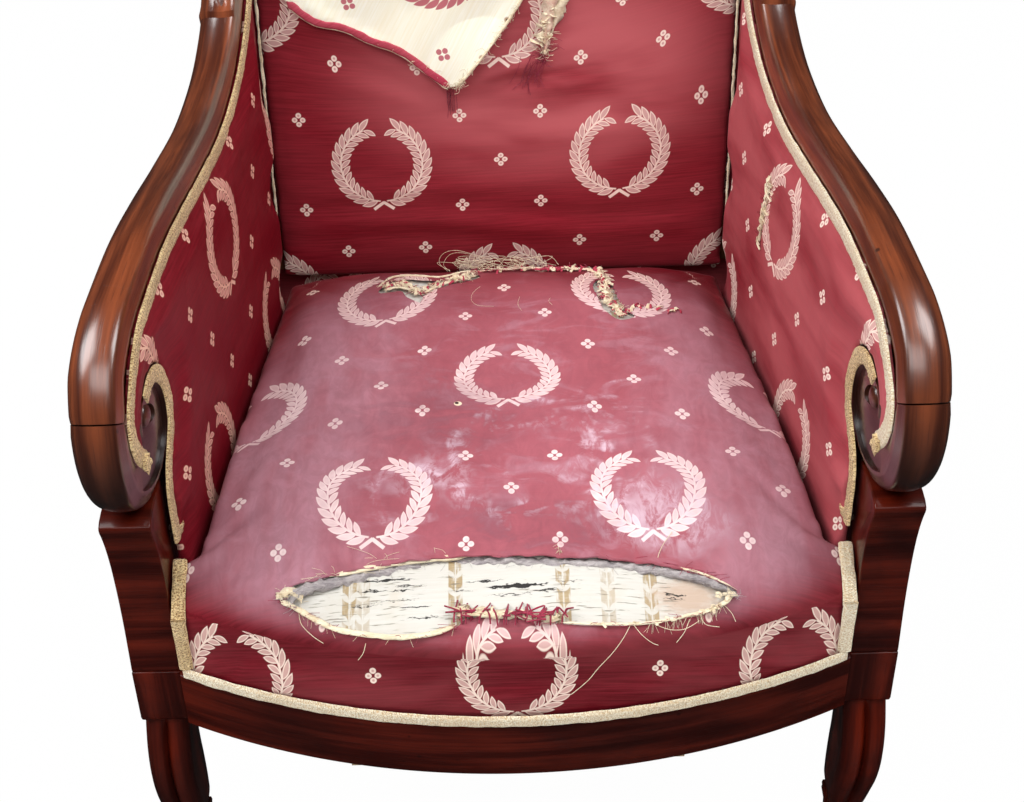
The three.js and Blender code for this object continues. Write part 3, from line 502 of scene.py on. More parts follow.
def makeWreaths():
    tree, given, leave = makeGroup(
        "laurelWreaths",
        {"Vector": ("NodeSocketVector", None)},
        {"Mask": "NodeSocketFloat", "Heart": "NodeSocketFloat"},
    )
    w = wreathPattern
    u, v, _ = split(tree, given["Vector"])
    row = sums(tree, "ROUND", v / w["rows"])
    shift = sums(tree, "FLOORED_MODULO", row, 2.0) * (w["across"] / 2)
    x = sums(tree, "WRAP", u - shift, w["across"] / 2, -w["across"] / 2)
    y = v - row * w["rows"]
    side = abs(x) * (w["radius"] / w["narrow"])
    radius = length2(side, y)
    angle = sums(tree, "ARCTAN2", side, y * -1)
    away = radius - w["stem"]
    spacing = (w["lastLeaf"] - w["firstLeaf"]) / (w["leaves"] - 1)
    steps = (angle - w["firstLeaf"]) / spacing
    masks, hearts = [], []
    for outward, phase, size in ((1, 0.0, 1.0), (-1, 0.5, 0.92)):
        for back in (0, 1):
            cell = sums(tree, "FLOOR", steps - phase) - back
            along = (steps - phase - cell) * (spacing * w["stem"])
            out = away * outward
            mask, heart = leafMask(along, out, w["leafAngle"], w["leafLong"] * size, w["leafWide"] * size)
            inside = ramp(cell, -0.6, -0.4) * ramp(cell, w["leaves"] - 0.6, w["leaves"] - 0.4, 1.0, 0.0)
            masks.append(mask * inside)
            hearts.append(heart * inside)
    stem = ramp(abs(away), 0.55, 1.1, 1.0, 0.0) * ramp(angle, 0.06, 0.1) * ramp(angle, 2.7, 2.75, 1.0, 0.0)
    # the two stalks cross at the foot of the wreath
    lowered = y + w["stem"] + 1.5
    alongTail = side * 0.8 - lowered * 0.6
    besideTail = abs(side * 0.6 + lowered * 0.8)
    tail = (
        ramp(besideTail, 1.2, 1.9, 1.0, 0.0) * ramp(alongTail, -1.0, 0.0)
        * ramp(alongTail, 11.5, 12.5, 1.0, 0.0)
    )
    dots = []
    for acrossPart, rowPart in ((1 / 2, 0), (1 / 3, 1 / 3)):
        dx = abs(abs(x) - w["across"] * acrossPart)
        dy = abs(abs(y) - w["rows"] * rowPart)
        near = smaller(length2(dx, dy - 4.2), length2(dx - 3.6, dy))
        dots.append(ramp(near, 2.2, 2.8, 1.0, 0.0))
        hearts.append(ramp(near, 0.7, 1.3, 1.0, 0.0))
    tree.links.new(largest([stem, tail, *masks, *dots]).socket, leave.inputs["Mask"])
    tree.links.new((largest(hearts) * (1 - stem)).socket, leave.inputs["Heart"])
    return tree


def makeWeave():
    # satin threads from a cloth map in millimetres: long floats across, fine ribs and slubs
    tree, given, leave = makeGroup(
        "satinWeave",
        {"Vector": ("NodeSocketVector", None)},
        {"Ribs": "NodeSocketFloat", "Slubs": "NodeSocketFloat", "Crumple": "NodeSocketFloat"},
    )
    vector = given["Vector"]
    ribs = clouds(tree, vector, 1.0, stretch=(0.12, 1.6, 1.0), detail=2)
    slubs = clouds(tree, vector, 1.0, stretch=(0.018, 0.55, 1.0), detail=4, rough=0.65)
    crumple = clouds(tree, vector, 0.014, stretch=(0.45, 1.5, 1.0), detail=3, rough=0.5, twist=0.3)
    tree.links.new(ribs.socket, leave.inputs["Ribs"])
    tree.links.new(slubs.socket, leave.inputs["Slubs"])
    tree.links.new(crumple.socket, leave.inputs["Crumple"])
    return tree


grainGroup = makeGrain()
grimeGroup = makeGrime()
wreathGroup = makeWreaths()
weaveGroup = makeWeave()

# Finishes


def drawnSignals(tree):
    # the drawing measures of a point, as signals
    x, y, z = split(tree, objectSignal(tree))
    return x * 1000, (y - postFront) * 1000, (z - railTop) * 1000


def makeMahogany(name, look):
    material, tree, shader = startMaterial(
        name, Coat_Weight=look["coat"], Coat_Roughness=look["gloss"], Specular_IOR_Level=look["shine"]
    )
    vector = mapSignal(tree, "grain") if look["mapped"] else objectSignal(tree)
    if not look["mapped"]:
        turn = tree.nodes.new("ShaderNodeMapping")
        turn.inputs["Rotation"].default_value = [math.radians(a) for a in look["turn"]]
        tree.links.new(vector.socket, turn.inputs["Vector"])
        vector = Signal(tree, turn.outputs[0])
    grain = useGroup(tree, grainGroup, Vector=vector, Figure=1.0)
    age = useGroup(tree, grimeGroup, Vector=objectSignal(tree), Scale=1.0)
    colour = blend(tree, grain["Figure"], look["dark"], look["light"])
    colour = blend(tree, grain["Pores"] * 0.45, colour, look["dark"])
    colour = blend(tree, age["Cloud"] * look["grime"], colour, look["sootAndShade"])
    colour = blend(tree, age["Specks"] * 0.8, colour, look["sootAndShade"])
    if look["shade"]:
        # painted shade: the wood is darkened low down on the arm's roll and the scroll, where shade falls
        # under the roll
        low, high, most = look["shade"]
        colour = blend(tree, ramp(drawnSignals(tree)[2], low, high, most, 0.0), colour, look["sootAndShade"])
    connect(tree, colour, shader.inputs["Base Color"])
    rough = look["rough"] + age["Cloud"] * 0.12 + age["Scratches"] * 0.16 + grain["Pores"] * 0.08
    connect(tree, rough, shader.inputs["Roughness"])
    height = grain["Figure"] * 0.12 - grain["Pores"] * 0.5 - age["Scratches"] * 0.35 + age["Cloud"] * 0.6
    addBump(tree, shader, height, 0.0004, 0.35)
    return material


armLook = {
    "dark": (0.058, 0.011, 0.004),
    "light": (0.240, 0.056, 0.018),
    "sootAndShade": (0.014, 0.003, 0.002),
    "grime": 0.35,
    "rough": 0.28,
    "coat": 1.0,
    "mapped": True,
    "turn": (0, 0, 0),
    # painted shade: from this height down to the lower one the roll and scroll are darkened, by up to this
    # share
    "shade": (172, 325, 0.97),
    "gloss": 0.22,
    "shine": 0.4,
}
postLook = {
    **armLook, "dark": (0.030, 0.002, 0.0008), "light": (0.100, 0.008, 0.002),
    "sootAndShade": (0.012, 0.001, 0.0005), "grime": 0.5, "coat": 0.17, "rough": 0.32, "shade": None, "gloss": 0.14,
    "shine": 0.14,
}
railLook = {**postLook, "mapped": False, "turn": (0, 0, 90)}
plankLook = {**postLook, "mapped": False, "turn": (0, 0, 0), "coat": 0.1, "rough": 0.4}
beechLook = {
    **armLook, "dark": (0.105, 0.036, 0.013), "light": (0.22, 0.084, 0.033), "sootAndShade": (0.05, 0.020, 0.010),
    "grime": 0.12,
    "coat": 0.0, "rough": 0.65, "mapped": False, "turn": (0, 0, 90), "shade": None,
}

armWood = makeMahogany("polishedMahogany", armLook)
postWood = makeMahogany("darkMahogany", postLook)
railWood = makeMahogany("railMahogany", railLook)
sideRailWood = makeMahogany("sideRailMahogany", plankLook)
beech = makeMahogany("beechFrame", beechLook)


def makeSatin(name, look):
    material, tree, shader = startMaterial(
        name, Sheen_Weight=look["sheen"], Sheen_Roughness=0.35, Sheen_Tint=look["sheenTint"],
        Specular_IOR_Level=0.14,
    )
    cloth = mapSignal(tree, "cloth")
    weave = useGroup(tree, weaveGroup, Vector=cloth)
    wreath = useGroup(tree, wreathGroup, Vector=cloth)
    colour = blend(tree, ramp(weave["Slubs"], 0.3, 0.7), look["deep"], look["bright"])
    # the faded colour stands partly for dye worn pale and partly for painted sheen where the satin catches
    # the light; each panel sets its own amount
    fadeAndSheen = ramp(weave["Crumple"], look["fadeFrom"], look["fadeTo"]) * look["crumple"]
    if look["fadedAndLitPatch"]:
        # paler round one place in the middle of the back: partly faded dye, partly a painted pool of light
        # and sheen
        x, _, z = drawnSignals(tree)
        atX, atZ, wide, high = look["fadedAndLitPatch"]
        near = length2((x - atX) * (1 / wide), (z - atZ) * (1 / high)) + weave["Crumple"] * 0.5
        fadeAndSheen = fadeAndSheen * ramp(near, 0.7, 1.35, 1.0, 0.12)
    colour = blend(tree, fadeAndSheen, colour, look["fadeAndSheenColour"])
    motif = blend(tree, wreath["Heart"] * 0.6, look["motif"], look["heart"])
    fray = ramp(weave["Ribs"], 0.18, 0.42)
    colour = blend(tree, wreath["Mask"] * lerp(1.0, fray, look["motifWear"]), colour, motif)
    rough = look["rough"] + wreath["Mask"] * 0.15 + weave["Slubs"] * 0.1
    height = weave["Ribs"] * 0.25 + weave["Slubs"] * 0.3
    if look["seatWear"]:
        colour, rough = wearSeat(tree, cloth, colour, rough, wreath["Mask"], motif)
    connect(tree, colour, shader.inputs["Base Color"])
    connect(tree, rough, shader.inputs["Roughness"])
    addBump(tree, shader, height, 0.0005, 0.4)
    return material


# tide lines left by water on the seat: middle, radius, breadth and strength
tideLines = [
    {"at": (13, 114), "radius": 64, "broad": 6, "strength": 0.55},
    {"at": (34, 128), "radius": 82, "broad": 4, "strength": 0.35},
    {"at": (20, 150), "radius": 56, "broad": 4, "strength": 0.35},
    {"at": (112, 72), "radius": 40, "broad": 5, "strength": 0.35},
    {"at": (-76, 86), "radius": 34, "broad": 5, "strength": 0.35},
    {"at": (72, 192), "radius": 38, "broad": 3, "strength": 0.3},
]
seatStain = {
    "rose": (0.45, 0.135, 0.17),
    "lilac": (0.48, 0.245, 0.305),
    "pattern": (0.88, 0.72, 0.74),
    "chalk": (0.78, 0.62, 0.72),
    "soil": (0.17, 0.055, 0.075),
    "hole": (-42, 202, 3.2),
}


def wearSeat(tree, cloth, colour, rough, pattern, motif):
    x, y, z = drawnSignals(tree)
    body = objectSignal(tree)
    top = ramp(z, 62, 96)
    drift = clouds(tree, body, 8, detail=4, rough=0.6)
    wisps = clouds(tree, body, 22, stretch=(1.0, 1.6, 1.0), detail=4, rough=0.62, twist=0.9)
    hairs = clouds(tree, body, 70, stretch=(1.0, 0.5, 1.0), detail=4, rough=0.7, twist=1.6, shift=(1, 3, 0))
    streaks = clouds(tree, cloth, 0.05, stretch=(1.0, 0.16, 1.0), detail=4)
    plain = colour
    colour = blend(tree, ramp(drift, 0.2, 0.7, 0.45, 0.85) * top, colour, seatStain["rose"])
    sides = ramp(abs(x - 16) + (drift - 0.5) * 190, 60, 190)
    colour = blend(tree, sides * ramp(streaks, 0.3, 0.6, 0.4, 0.8) * top, colour, seatStain["lilac"])
    colour = blend(tree, ramp(wisps, 0.46, 0.75) * top * 0.55, colour, seatStain["lilac"])
    dull = ramp(hairs, 0.3, 0.7, 0.0, 0.25)
    colour = blend(tree, dull * top, colour, seatStain["soil"])
    colour = blend(
        tree, pattern * ramp(wisps, 0.3, 0.6, 0.95, 0.7) * top, colour,
        blend(tree, 0.75, motif, seatStain["pattern"]),
    )
    wobble = clouds(tree, body, 26, detail=3, rough=0.6, shift=(4, 1, 0))
    for line in tideLines:
        ring = length2(x - line["at"][0], y - line["at"][1]) + (wobble - 0.5) * 60
        outside = ramp(ring, line["radius"] - 1, line["radius"] + line["broad"], 1.0, 0.0)
        inside = ramp(ring, line["radius"] - line["broad"] * 3.4, line["radius"] - 1)
        mark = outside * inside * ramp(wisps, 0.42, 0.66) * ramp(hairs, 0.38, 0.6) * top
        colour = blend(tree, mark * line["strength"], colour, seatStain["chalk"])
    chalkBloomAndLight = ramp(
        length2(x - 116, (y - 52) * 1.2) + (wobble - 0.5) * 70, 20, 66, 1.0, 0.0
    ) * ramp(hairs, 0.35, 0.65)
    # the second patch, on the seat's left, is partly chalky fading and partly painted light, lifting the seat
    # where the left arm's shadow falls
    chalkBloomAndLight = larger(
        chalkBloomAndLight,
        ramp(
            length2(x + 62, (y - 106) * 1.2) + (wobble - 0.5) * 60, 8, 40, 1.0, 0.0
        ) * ramp(hairs, 0.4, 0.65),
    )
    colour = blend(tree, chalkBloomAndLight * 0.5 * top, colour, seatStain["chalk"])
    soiled = ramp(length2(x - 6, (y - 44) * 2.0) + (wobble - 0.5) * 90, 20, 96, 1.0, 0.0)
    soiled = larger(soiled, ramp(length2((x + 62) * 0.7, y - 190) + (wobble - 0.5) * 80, 20, 92, 0.8, 0.0))
    colour = blend(tree, soiled * ramp(wisps, 0.35, 0.6) * 0.5 * top, colour, seatStain["soil"])
    colour = blend(tree, 1 - top, colour, plain)
    holeX, holeY, holeSize = seatStain["hole"]
    hole = length2(x - holeX, y - holeY) + (wobble - 0.5) * 3
    colour = blend(tree, ramp(hole, holeSize, holeSize + 0.8, 1.0, 0.0), colour, (0.82, 0.70, 0.52))
    colour = blend(
        tree, ramp(length2(x - holeX + 1, y - holeY - 1), 1.4, 2.0, 1.0, 0.0), colour, (0.03, 0.01, 0.01)
    )
    return colour, rough + top * 0.16


satinLook = {
    "deep": (0.175, 0.003, 0.010),
    "bright": (0.285, 0.012, 0.026),
    # partly faded dye, partly painted sheen
    "fadeAndSheenColour": (0.54, 0.125, 0.140),
    "fadeFrom": 0.38,
    "fadeTo": 0.62,
    "crumple": 0.35,
    "motif": (0.96, 0.78, 0.68),
    "heart": (0.50, 0.16, 0.17),
    "fadedAndLitPatch": None,
    "motifWear": 0.3,
    "rough": 0.42,
    "sheen": 0.05,
    "sheenTint": (1.0, 0.62, 0.66),
    "seatWear": False,
}
seatLook = {
    **satinLook, "seatWear": True, "rough": 0.46, "deep": (0.11, 0.001, 0.005),
    "bright": (0.19, 0.007, 0.016), "crumple": 0.16, "motif": (0.86, 0.68, 0.58),
    "heart": (0.44, 0.15, 0.15),
}

satin = makeSatin("crimsonSatin", satinLook)
# the back's satin: strong fade and a pale patch, partly worn dye and partly painted light and sheen
backCloth = makeSatin(
    "backSatin",
    {**satinLook, "crumple": 0.95, "fadeFrom": 0.15, "fadeTo": 0.6, "fadedAndLitPatch": (40, 262, 205, 118)},
)
# the right side panel's satin, more faded: partly worn cloth, partly painted sheen and light on the panel
# that faces the key lamp
rightFadedLitSatin = makeSatin("rightArmFadedLitSatin", {**satinLook, "crumple": 0.8, "fadeFrom": 0.2, "fadeTo": 0.65})
# the left side panel's satin, darker and barely faded, with a darker pattern: partly deeper cloth, partly
# painted shade on the panel that faces away from the key lamp
leftUnfadedShadedSatin = makeSatin(
    "leftArmUnfadedShadedSatin",
    {
        **satinLook, "crumple": 0.05, "deep": (0.14, 0.002, 0.007), "bright": (0.22, 0.008, 0.018),
        "sheen": 0.0, "motif": (0.80, 0.50, 0.38),
    },
)
outsideSatin = makeSatin("outsideSatin", {**satinLook, "crumple": 0.4, "fadeFrom": 0.3, "fadeTo": 0.75})
seatSatin = makeSatin("fadedSeatSatin", seatLook)
# a brighter, pinker copy of the satin for the hem and some rags: partly painted sheen and highlight along the
# standing edge
hemSheenSatin = makeSatin(
    "hemSheenSatin", {**satinLook, "deep": (0.36, 0.02, 0.05), "bright": (0.52, 0.07, 0.12), "rough": 0.36}
)


# holes that the tacks left along the flap's edge: across and up, in drawing millimetres
tackHoles = [
    (8, 317), (1, 303), (-15, 285), (-33, 262), (-66, 274), (22, 341), (36, 362), (58, 395), (80, 430),
    (104, 468),
]


def makeReverse():
    # the cream back of the satin, where the pattern shows in crimson
    material, tree, shader = startMaterial("satinReverse", Sheen_Weight=0.2, Sheen_Roughness=0.5)
    cloth = mapSignal(tree, "cloth")
    weave = useGroup(tree, weaveGroup, Vector=cloth)
    wreath = useGroup(tree, wreathGroup, Vector=cloth)
    colour = blend(tree, ramp(weave["Slubs"], 0.3, 0.7), (0.84, 0.81, 0.63), (0.89, 0.89, 0.77))
    colour = blend(tree, ramp(weave["Crumple"], 0.4, 0.7) * 0.3, colour, (0.80, 0.68, 0.44))
    colour = blend(tree, wreath["Mask"] * 0.9, colour, (0.42, 0.045, 0.085))
    x, _, z = drawnSignals(tree)
    for across, up in tackHoles:
        away = length2(x - across, z - up)
        colour = blend(tree, ramp(away, 1.6, 3.4, 0.8, 0.0), colour, (0.30, 0.13, 0.03))
        colour = blend(tree, ramp(away, 0.7, 1.1, 1.0, 0.0), colour, (0.02, 0.01, 0.01))
    connect(tree, colour, shader.inputs["Base Color"])
    connect(tree, 0.62 + weave["Slubs"] * 0.15, shader.inputs["Roughness"])
    addBump(tree, shader, weave["Ribs"] + weave["Slubs"] * 0.6, 0.0005, 0.3)
    return material


reverse = makeReverse()

# the older cover: cream silk with gold leaf stripes, split along the weft where it has perished
oldSilk = {
    "cream": (0.56, 0.53, 0.46), "white": (0.69, 0.68, 0.645), "gold": (0.36, 0.25, 0.11),
    "stripes": [
        (-203, 0.9), (-123, 1.0), (-113, 0.5), (-44, 1.0), (36, 1.0), (69, 0.55), (101, 0.95), (181, 0.9)
    ],
    "half": 5.6,
    "splits": [
        (-96, -2, 22, 1.1), (-106, -11, 12, 0.9), (-84, -12, 10, 0.7), (-74, -26, 12, 1.0),
        (-68, -34, 12, 0.7), (-112, -22, 12, 0.4), (-90, -20, 16, 0.35), (-78, -8, 12, 0.5),
        (2, -12, 24, 2.0), (-22, -6, 14, 0.7), (22, -17, 12, 0.8), (-40, -14, 10, 0.4), (-4, -19, 18, 0.5),
        (40, -10, 10, 0.3), (119, -19, 9, 1.1), (118, -22, 8, 0.5),
    ],
}


def makeOldSilk():
    material, tree, shader = startMaterial("oldStripedSilk", Sheen_Weight=0.15)
    cloth = mapSignal(tree, "cloth")
    u, v, _ = split(tree, cloth)
    x, y, _ = drawnSignals(tree)
    weave = useGroup(tree, weaveGroup, Vector=cloth)
    colour = blend(tree, weave["Slubs"], oldSilk["cream"], oldSilk["white"])
    cell = sums(tree, "WRAP", v, 6.5, -6.5)
    rubbed = clouds(tree, cloth, 0.3, stretch=(1.0, 0.3, 1.0), detail=3)
    for middle, strength in oldSilk["stripes"]:
        across = u - middle
        sprig, _ = leafMask(cell + 4.5, abs(across), 42, 9.5, 1.9)
        veins = larger(sprig, ramp(abs(across), 0.3, 0.8, 1.0, 0.0))
        stripe = ramp(abs(across), oldSilk["half"] - 0.7, oldSilk["half"], 1.0, 0.0)
        leafy = stripe * (1 - veins * 0.9)
        kept = ramp(rubbed, 0.3, 0.55) * ramp(weave["Ribs"], 0.2, 0.5, 0.5, 1.0)
        gold = leafy * kept * (strength * 0.92)
        colour = blend(tree, gold, colour, oldSilk["gold"])
    brown = clouds(tree, cloth, 0.03, detail=4)
    colour = blend(tree, ramp(brown, 0.55, 0.8) * 0.3, colour, (0.55, 0.42, 0.26))
    ragged = clouds(tree, cloth, 0.35, stretch=(0.5, 1.6, 1.0), detail=4, shift=(9, 4, 0))
    jagged = clouds(tree, cloth, 1.4, stretch=(0.35, 1.6, 1.0), detail=4, rough=0.7, shift=(5, 2, 0))
    slits = []
    for across, back, half, gape in oldSilk["splits"]:
        reach = (x - across) / half
        width = (1 - reach * reach) * (gape * 0.9)
        aside = abs(y - back + (ragged - 0.5) * 7.0)
        slits.append(ramp(width - aside + (jagged - 0.5) * 1.6, -0.2, 0.35))
    gone = largest(slits)
    scorched = ramp(length2((x - 128) * 0.55, y + 20) + (ragged - 0.5) * 16, 6, 20, 1.0, 0.0)
    colour = blend(tree, scorched * 0.55, colour, (0.46, 0.24, 0.12))
    fine = clouds(tree, cloth, 1.0, stretch=(0.05, 0.7, 1.0), detail=3, shift=(2, 8, 0))
    places = clouds(tree, cloth, 0.03, detail=1, shift=(3, 7, 0))
    cracks = ramp(fine, 0.60, 0.66) * ramp(places, 0.44, 0.54)
    colour = blend(tree, cracks * 0.75, colour, (0.20, 0.17, 0.12))
    colour = blend(tree, gone, colour, (0.014, 0.012, 0.010))
    connect(tree, colour, shader.inputs["Base Color"])
    connect(tree, 0.55 + weave["Slubs"] * 0.2, shader.inputs["Roughness"])
    addBump(tree, shader, weave["Ribs"] * 0.6 + weave["Slubs"] - gone * 3 - cracks * 2, 0.0006, 0.45)
    return material


stripedSilk = makeOldSilk()


def makeBraid(name, dark, light, worn):
    # gimp braid from a map in millimetres: x across from the middle, y along
    material, tree, shader = startMaterial(name, Sheen_Weight=0.2)
    strip = mapSignal(tree, "cloth")
    u, v, _ = split(tree, strip)
    stray = clouds(tree, strip, 0.18, detail=3)
    fuzz = clouds(tree, strip, 0.55, detail=5, rough=0.75)
    wave = sums(tree, "SINE", v * (2 * math.pi / 4.4) + (stray - 0.5) * 9)
    loops = ramp(abs(u - wave * 2.9), 0.4, 1.8, 1.0, 0.0)
    crossed = ramp(abs(u + wave * 2.9), 0.4, 1.8, 1.0, 0.0)
    edge = ramp(abs(u), 4.3, 5.4)
    cords = larger(larger(loops, crossed), edge * (0.6 + 0.4 * sums(tree, "SINE", v * 4.0)))
    grains = clouds(tree, strip, 0.9, stretch=(0.7, 1.0, 1.0), detail=3, rough=0.7)
    thread = cords * 0.2 + ramp(fuzz, 0.38, 0.6) * 0.4 + ramp(grains, 0.42, 0.58) * 0.5
    age = useGroup(tree, grimeGroup, Vector=objectSignal(tree), Scale=3.0)
    colour = blend(tree, ramp(thread, 0.15, 0.85), dark, light)
    colour = blend(tree, ramp(stray, 0.5, 0.7) * 0.4, colour, worn)
    colour = blend(tree, age["Cloud"] * 0.35, colour, dark)
    connect(tree, colour, shader.inputs["Base Color"])
    connect(tree, 0.62 + fuzz * 0.2, shader.inputs["Roughness"])
    addBump(tree, shader, cords * 0.5 + fuzz * 1.0 + grains * 0.8, 0.0013, 0.9)
    return material


goldBraid = makeBraid("goldBraid", (0.26, 0.11, 0.025), (1.0, 0.76, 0.38), (0.95, 0.76, 0.44))
creamBraid = makeBraid("creamBraid", (0.68, 0.47, 0.25), (1.0, 0.92, 0.72), (1.0, 0.93, 0.76))


def makeFibre(name, first, second, scale, stretch=(1, 1, 1), rough=0.9):
    material, tree, shader = startMaterial(name, Sheen_Weight=0.25)
    vector = objectSignal(tree)
    strands = clouds(tree, vector, scale, stretch=stretch, detail=5, rough=0.7, twist=1.0)
    tufts = clouds(tree, vector, scale * 0.15, detail=2)
    colour = blend(tree, ramp(strands * 0.7 + tufts * 0.3, 0.3, 0.7), first, second)
    connect(tree, colour, shader.inputs["Base Color"])
    connect(tree, rough + strands * 0.08, shader.inputs["Roughness"])
    addBump(tree, shader, strands, 0.0012, 0.6)
    return material


greyWool = makeFibre("greyWadding", (0.20, 0.17, 0.18), (0.56, 0.51, 0.50), 420, (0.14, 1, 1))
rawSilk = makeFibre("rawSilkEdge", (0.62, 0.48, 0.29), (0.92, 0.84, 0.64), 260, (0.5, 1, 1), rough=0.75)
tuftedSilk = makeFibre("tuftedSilk", (0.66, 0.38, 0.28), (0.92, 0.83, 0.64), 190, rough=0.8)
creamThread = makeFibre("creamThread", (0.55, 0.42, 0.26), (0.86, 0.76, 0.57), 300)
crimsonThread = makeFibre("crimsonThread", (0.16, 0.004, 0.02), (0.40, 0.02, 0.065), 300)
jute = makeFibre("jute", (0.20, 0.13, 0.07), (0.42, 0.30, 0.18), 260, (1, 0.15, 1))


def makeSteel():
    material, tree, shader = startMaterial("springSteel", Metallic=0.85)
    age = useGroup(tree, grimeGroup, Vector=objectSignal(tree), Scale=4.0)
    colour = blend(tree, age["Cloud"], (0.30, 0.27, 0.25), (0.16, 0.08, 0.045))
    connect(tree, colour, shader.inputs["Base Color"])
    connect(tree, 0.4 + age["Cloud"] * 0.35, shader.inputs["Roughness"])
    addBump(tree, shader, age["Cloud"], 0.0003, 0.4)
    return material


springSteel = makeSteel()
print("materials ready")

# The show-wood: every piece is a section carried along a line


def sweep(name, rings):
    # rings are rows of drawing points; the first face is extruded from ring to ring
    clearSelection()
    bpy.ops.mesh.primitive_circle_add(vertices=len(rings[0]), radius=0.01, fill_type="NGON")
    piece = bpy.context.object
    piece.name = name
    bpy.ops.object.mode_set(mode="EDIT")
    mesh = bmesh.from_edit_mesh(piece.data)
    mesh.verts.ensure_lookup_table()
    spots = [[place(*point) for point in ring] for ring in rings]
    marks = mesh.verts.layers.int.new("station")
    for k, vert in enumerate(list(mesh.verts)):
        vert.co = spots[0][k]
        vert[marks] = k
    bmesh.update_edit_mesh(piece.data)
    for i in range(1, len(rings)):
        bpy.ops.mesh.extrude_region_move(TRANSFORM_OT_translate={"value": spots[i][0] - spots[i - 1][0]})
        mesh = bmesh.from_edit_mesh(piece.data)
        marks = mesh.verts.layers.int["station"]
        for vert in mesh.verts:
            if vert.select:
                k = vert[marks] % 1000
                vert.co = spots[i][k]
                vert[marks] = i * 1000 + k
        bmesh.update_edit_mesh(piece.data)
    bpy.ops.mesh.select_all(action="SELECT")
    bpy.ops.mesh.normals_make_consistent(inside=False)
    bpy.ops.object.mode_set(mode="OBJECT")
    mapGrain(piece, spots)
    return piece


def mapGrain(piece, spots):
    # a map of the wood in metres: round the section across, along the sweep upwards
    count = len(spots[0])
    middle = [sum(ring, Vector()) / count for ring in spots]
    along = [0.0]
    for a, b in zip(middle, middle[1:]):
        along.append(along[-1] + (b - a).length)
    widest = max(spots, key=lambda ring: sum((ring[k] - ring[k - 1]).length for k in range(count)))
    across = [0.0]
    for k in range(count):
        across.append(across[-1] + (widest[(k + 1) % count] - widest[k]).length)
    layer = piece.data.uv_layers.new(name="grain")
    marks = [mark.value for mark in piece.data.attributes["station"].data]
    for polygon in piece.data.polygons:
        columns = [marks[v] % 1000 for v in polygon.vertices]
        wraps = max(columns) - min(columns) == count - 1 and len(columns) == 4
        for loop, column, vertex in zip(polygon.loop_indices, columns, polygon.vertices):
            k = count if wraps and column == 0 else column
            layer.data[loop].uv = (across[k], along[marks[vertex] // 1000])


def cutAway(piece, spot, normal):
    # everything on the side that the normal points to is cut off, and the cut is closed
    pick(piece)
    bpy.ops.object.mode_set(mode="EDIT")
    bpy.ops.mesh.select_all(action="SELECT")
    bpy.ops.mesh.bisect(plane_co=spot, plane_no=normal, use_fill=True, clear_outer=True)
    bpy.ops.object.mode_set(mode="OBJECT")


# plan lines of the chair, as in the solid
chair = {
    "postInner": 262,
    "postOuter": 300,
    "postDepth": 44,
    "bow": 61,
    "bowSetback": 4,
    "splay": 0.105,
    "stileOuter": 256,
    "stileWidth": 35,
    "stileDepth": 34,
    "stileFront": 444,
    "lean": 0.085,
    "stileTop": 562,
    "floor": -310,
}
bowRadius = (chair["postInner"] ** 2 + chair["bow"] ** 2) / (2 * chair["bow"])


def bowFront(x):
    # the front line of the seat rail at x, which may be one number or a whole array
    across = np.clip(np.abs(x), 0, chair["postInner"])
    return -chair["bowSetback"] - (np.sqrt(bowRadius ** 2 - across ** 2) - (bowRadius - chair["bow"]))


def inSide(y):
    return chair["postInner"] - chair["splay"] * max(y, -10)


def stileFront(z):
    return chair["stileFront"] + chair["lean"] * max(z, 0)


arm = {
    "widthFront": 39, "widthBack": 35, "depth": 34, "reveal": 17, "rebate": 5,
    "crown": [
        (486, 490), (474, 436), (457, 397), (433, 366), (404, 344), (364, 328), (304, 320), (234, 325),
        (171, 332), (112, 335), (40, 328),
    ],
    "voluteY": 40, "voluteZ": 226, "radii": [102, 78, 62, 37, 34, 31], "joint": 146, "tongueEnd": 208,
    "bandStart": 70, "bandEnd": 41, "eyeEnd": 540, "core": 8, "sheathEnd": 0.36,
    "boss": [
        (1.2, 0.4), (1.5, 3), (2.4, 6), (3.9, 8.4), (5.5, 9.4), (29, 9.4), (30.4, 8), (31.2, 4), (31.4, 0.4)
    ],
    "over": [
        (0.16, 1.35), (0.28, 0.5), (0.42, 0.0), (0.56, 0.35), (0.7, 1.9), (0.81, 4.4), (0.9, 8.4),
        (0.965, 13.6), (1.0, 21),
    ],
}


def armWidth(y):
    return lerp(arm["widthFront"], arm["widthBack"], min(max(y / 448, 0), 1))


def voluteRadius(degrees):
    radii = arm["radii"]
    spot = (degrees - 90) / 90
    i = min(max(int(math.floor(spot)), 0), len(radii) - 2)
    t = spot - i
    a = 2 * radii[0] - radii[1] + 18 if i == 0 else radii[i - 1]
    b, c, d = radii[i], radii[i + 1], radii[min(i + 2, len(radii) - 1)]
    return (2 * b + (c - a) * t + (2 * a - 5 * b + 4 * c - d) * t * t + (3 * b - a - 3 * c + d) * t ** 3) / 2


def bandInside(degrees):
    # how far from the volute's centre the cloth tongue's outer edge runs
    past = (degrees - arm["joint"]) / (arm["tongueEnd"] - arm["joint"])
    return lerp(arm["bandStart"], arm["bandEnd"], min(max(past, 0), 1))


def crownStation(t):
    y, z = alongCurve(arm["crown"], t)
    y1, z1 = alongCurve(arm["crown"], max(t - 0.002, 0))
    y2, z2 = alongCurve(arm["crown"], min(t + 0.002, 1))
    size = math.hypot(y2 - y1, z2 - z1)
    return y, z, -(z2 - z1) / size, (y2 - y1) / size, 200.0


def voluteStation(degrees):
    radius = voluteRadius(degrees)
    c, s = math.cos(math.radians(degrees)), math.sin(math.radians(degrees))
    return arm["voluteY"] + radius * c, arm["voluteZ"] + radius * s, -c, -s, radius


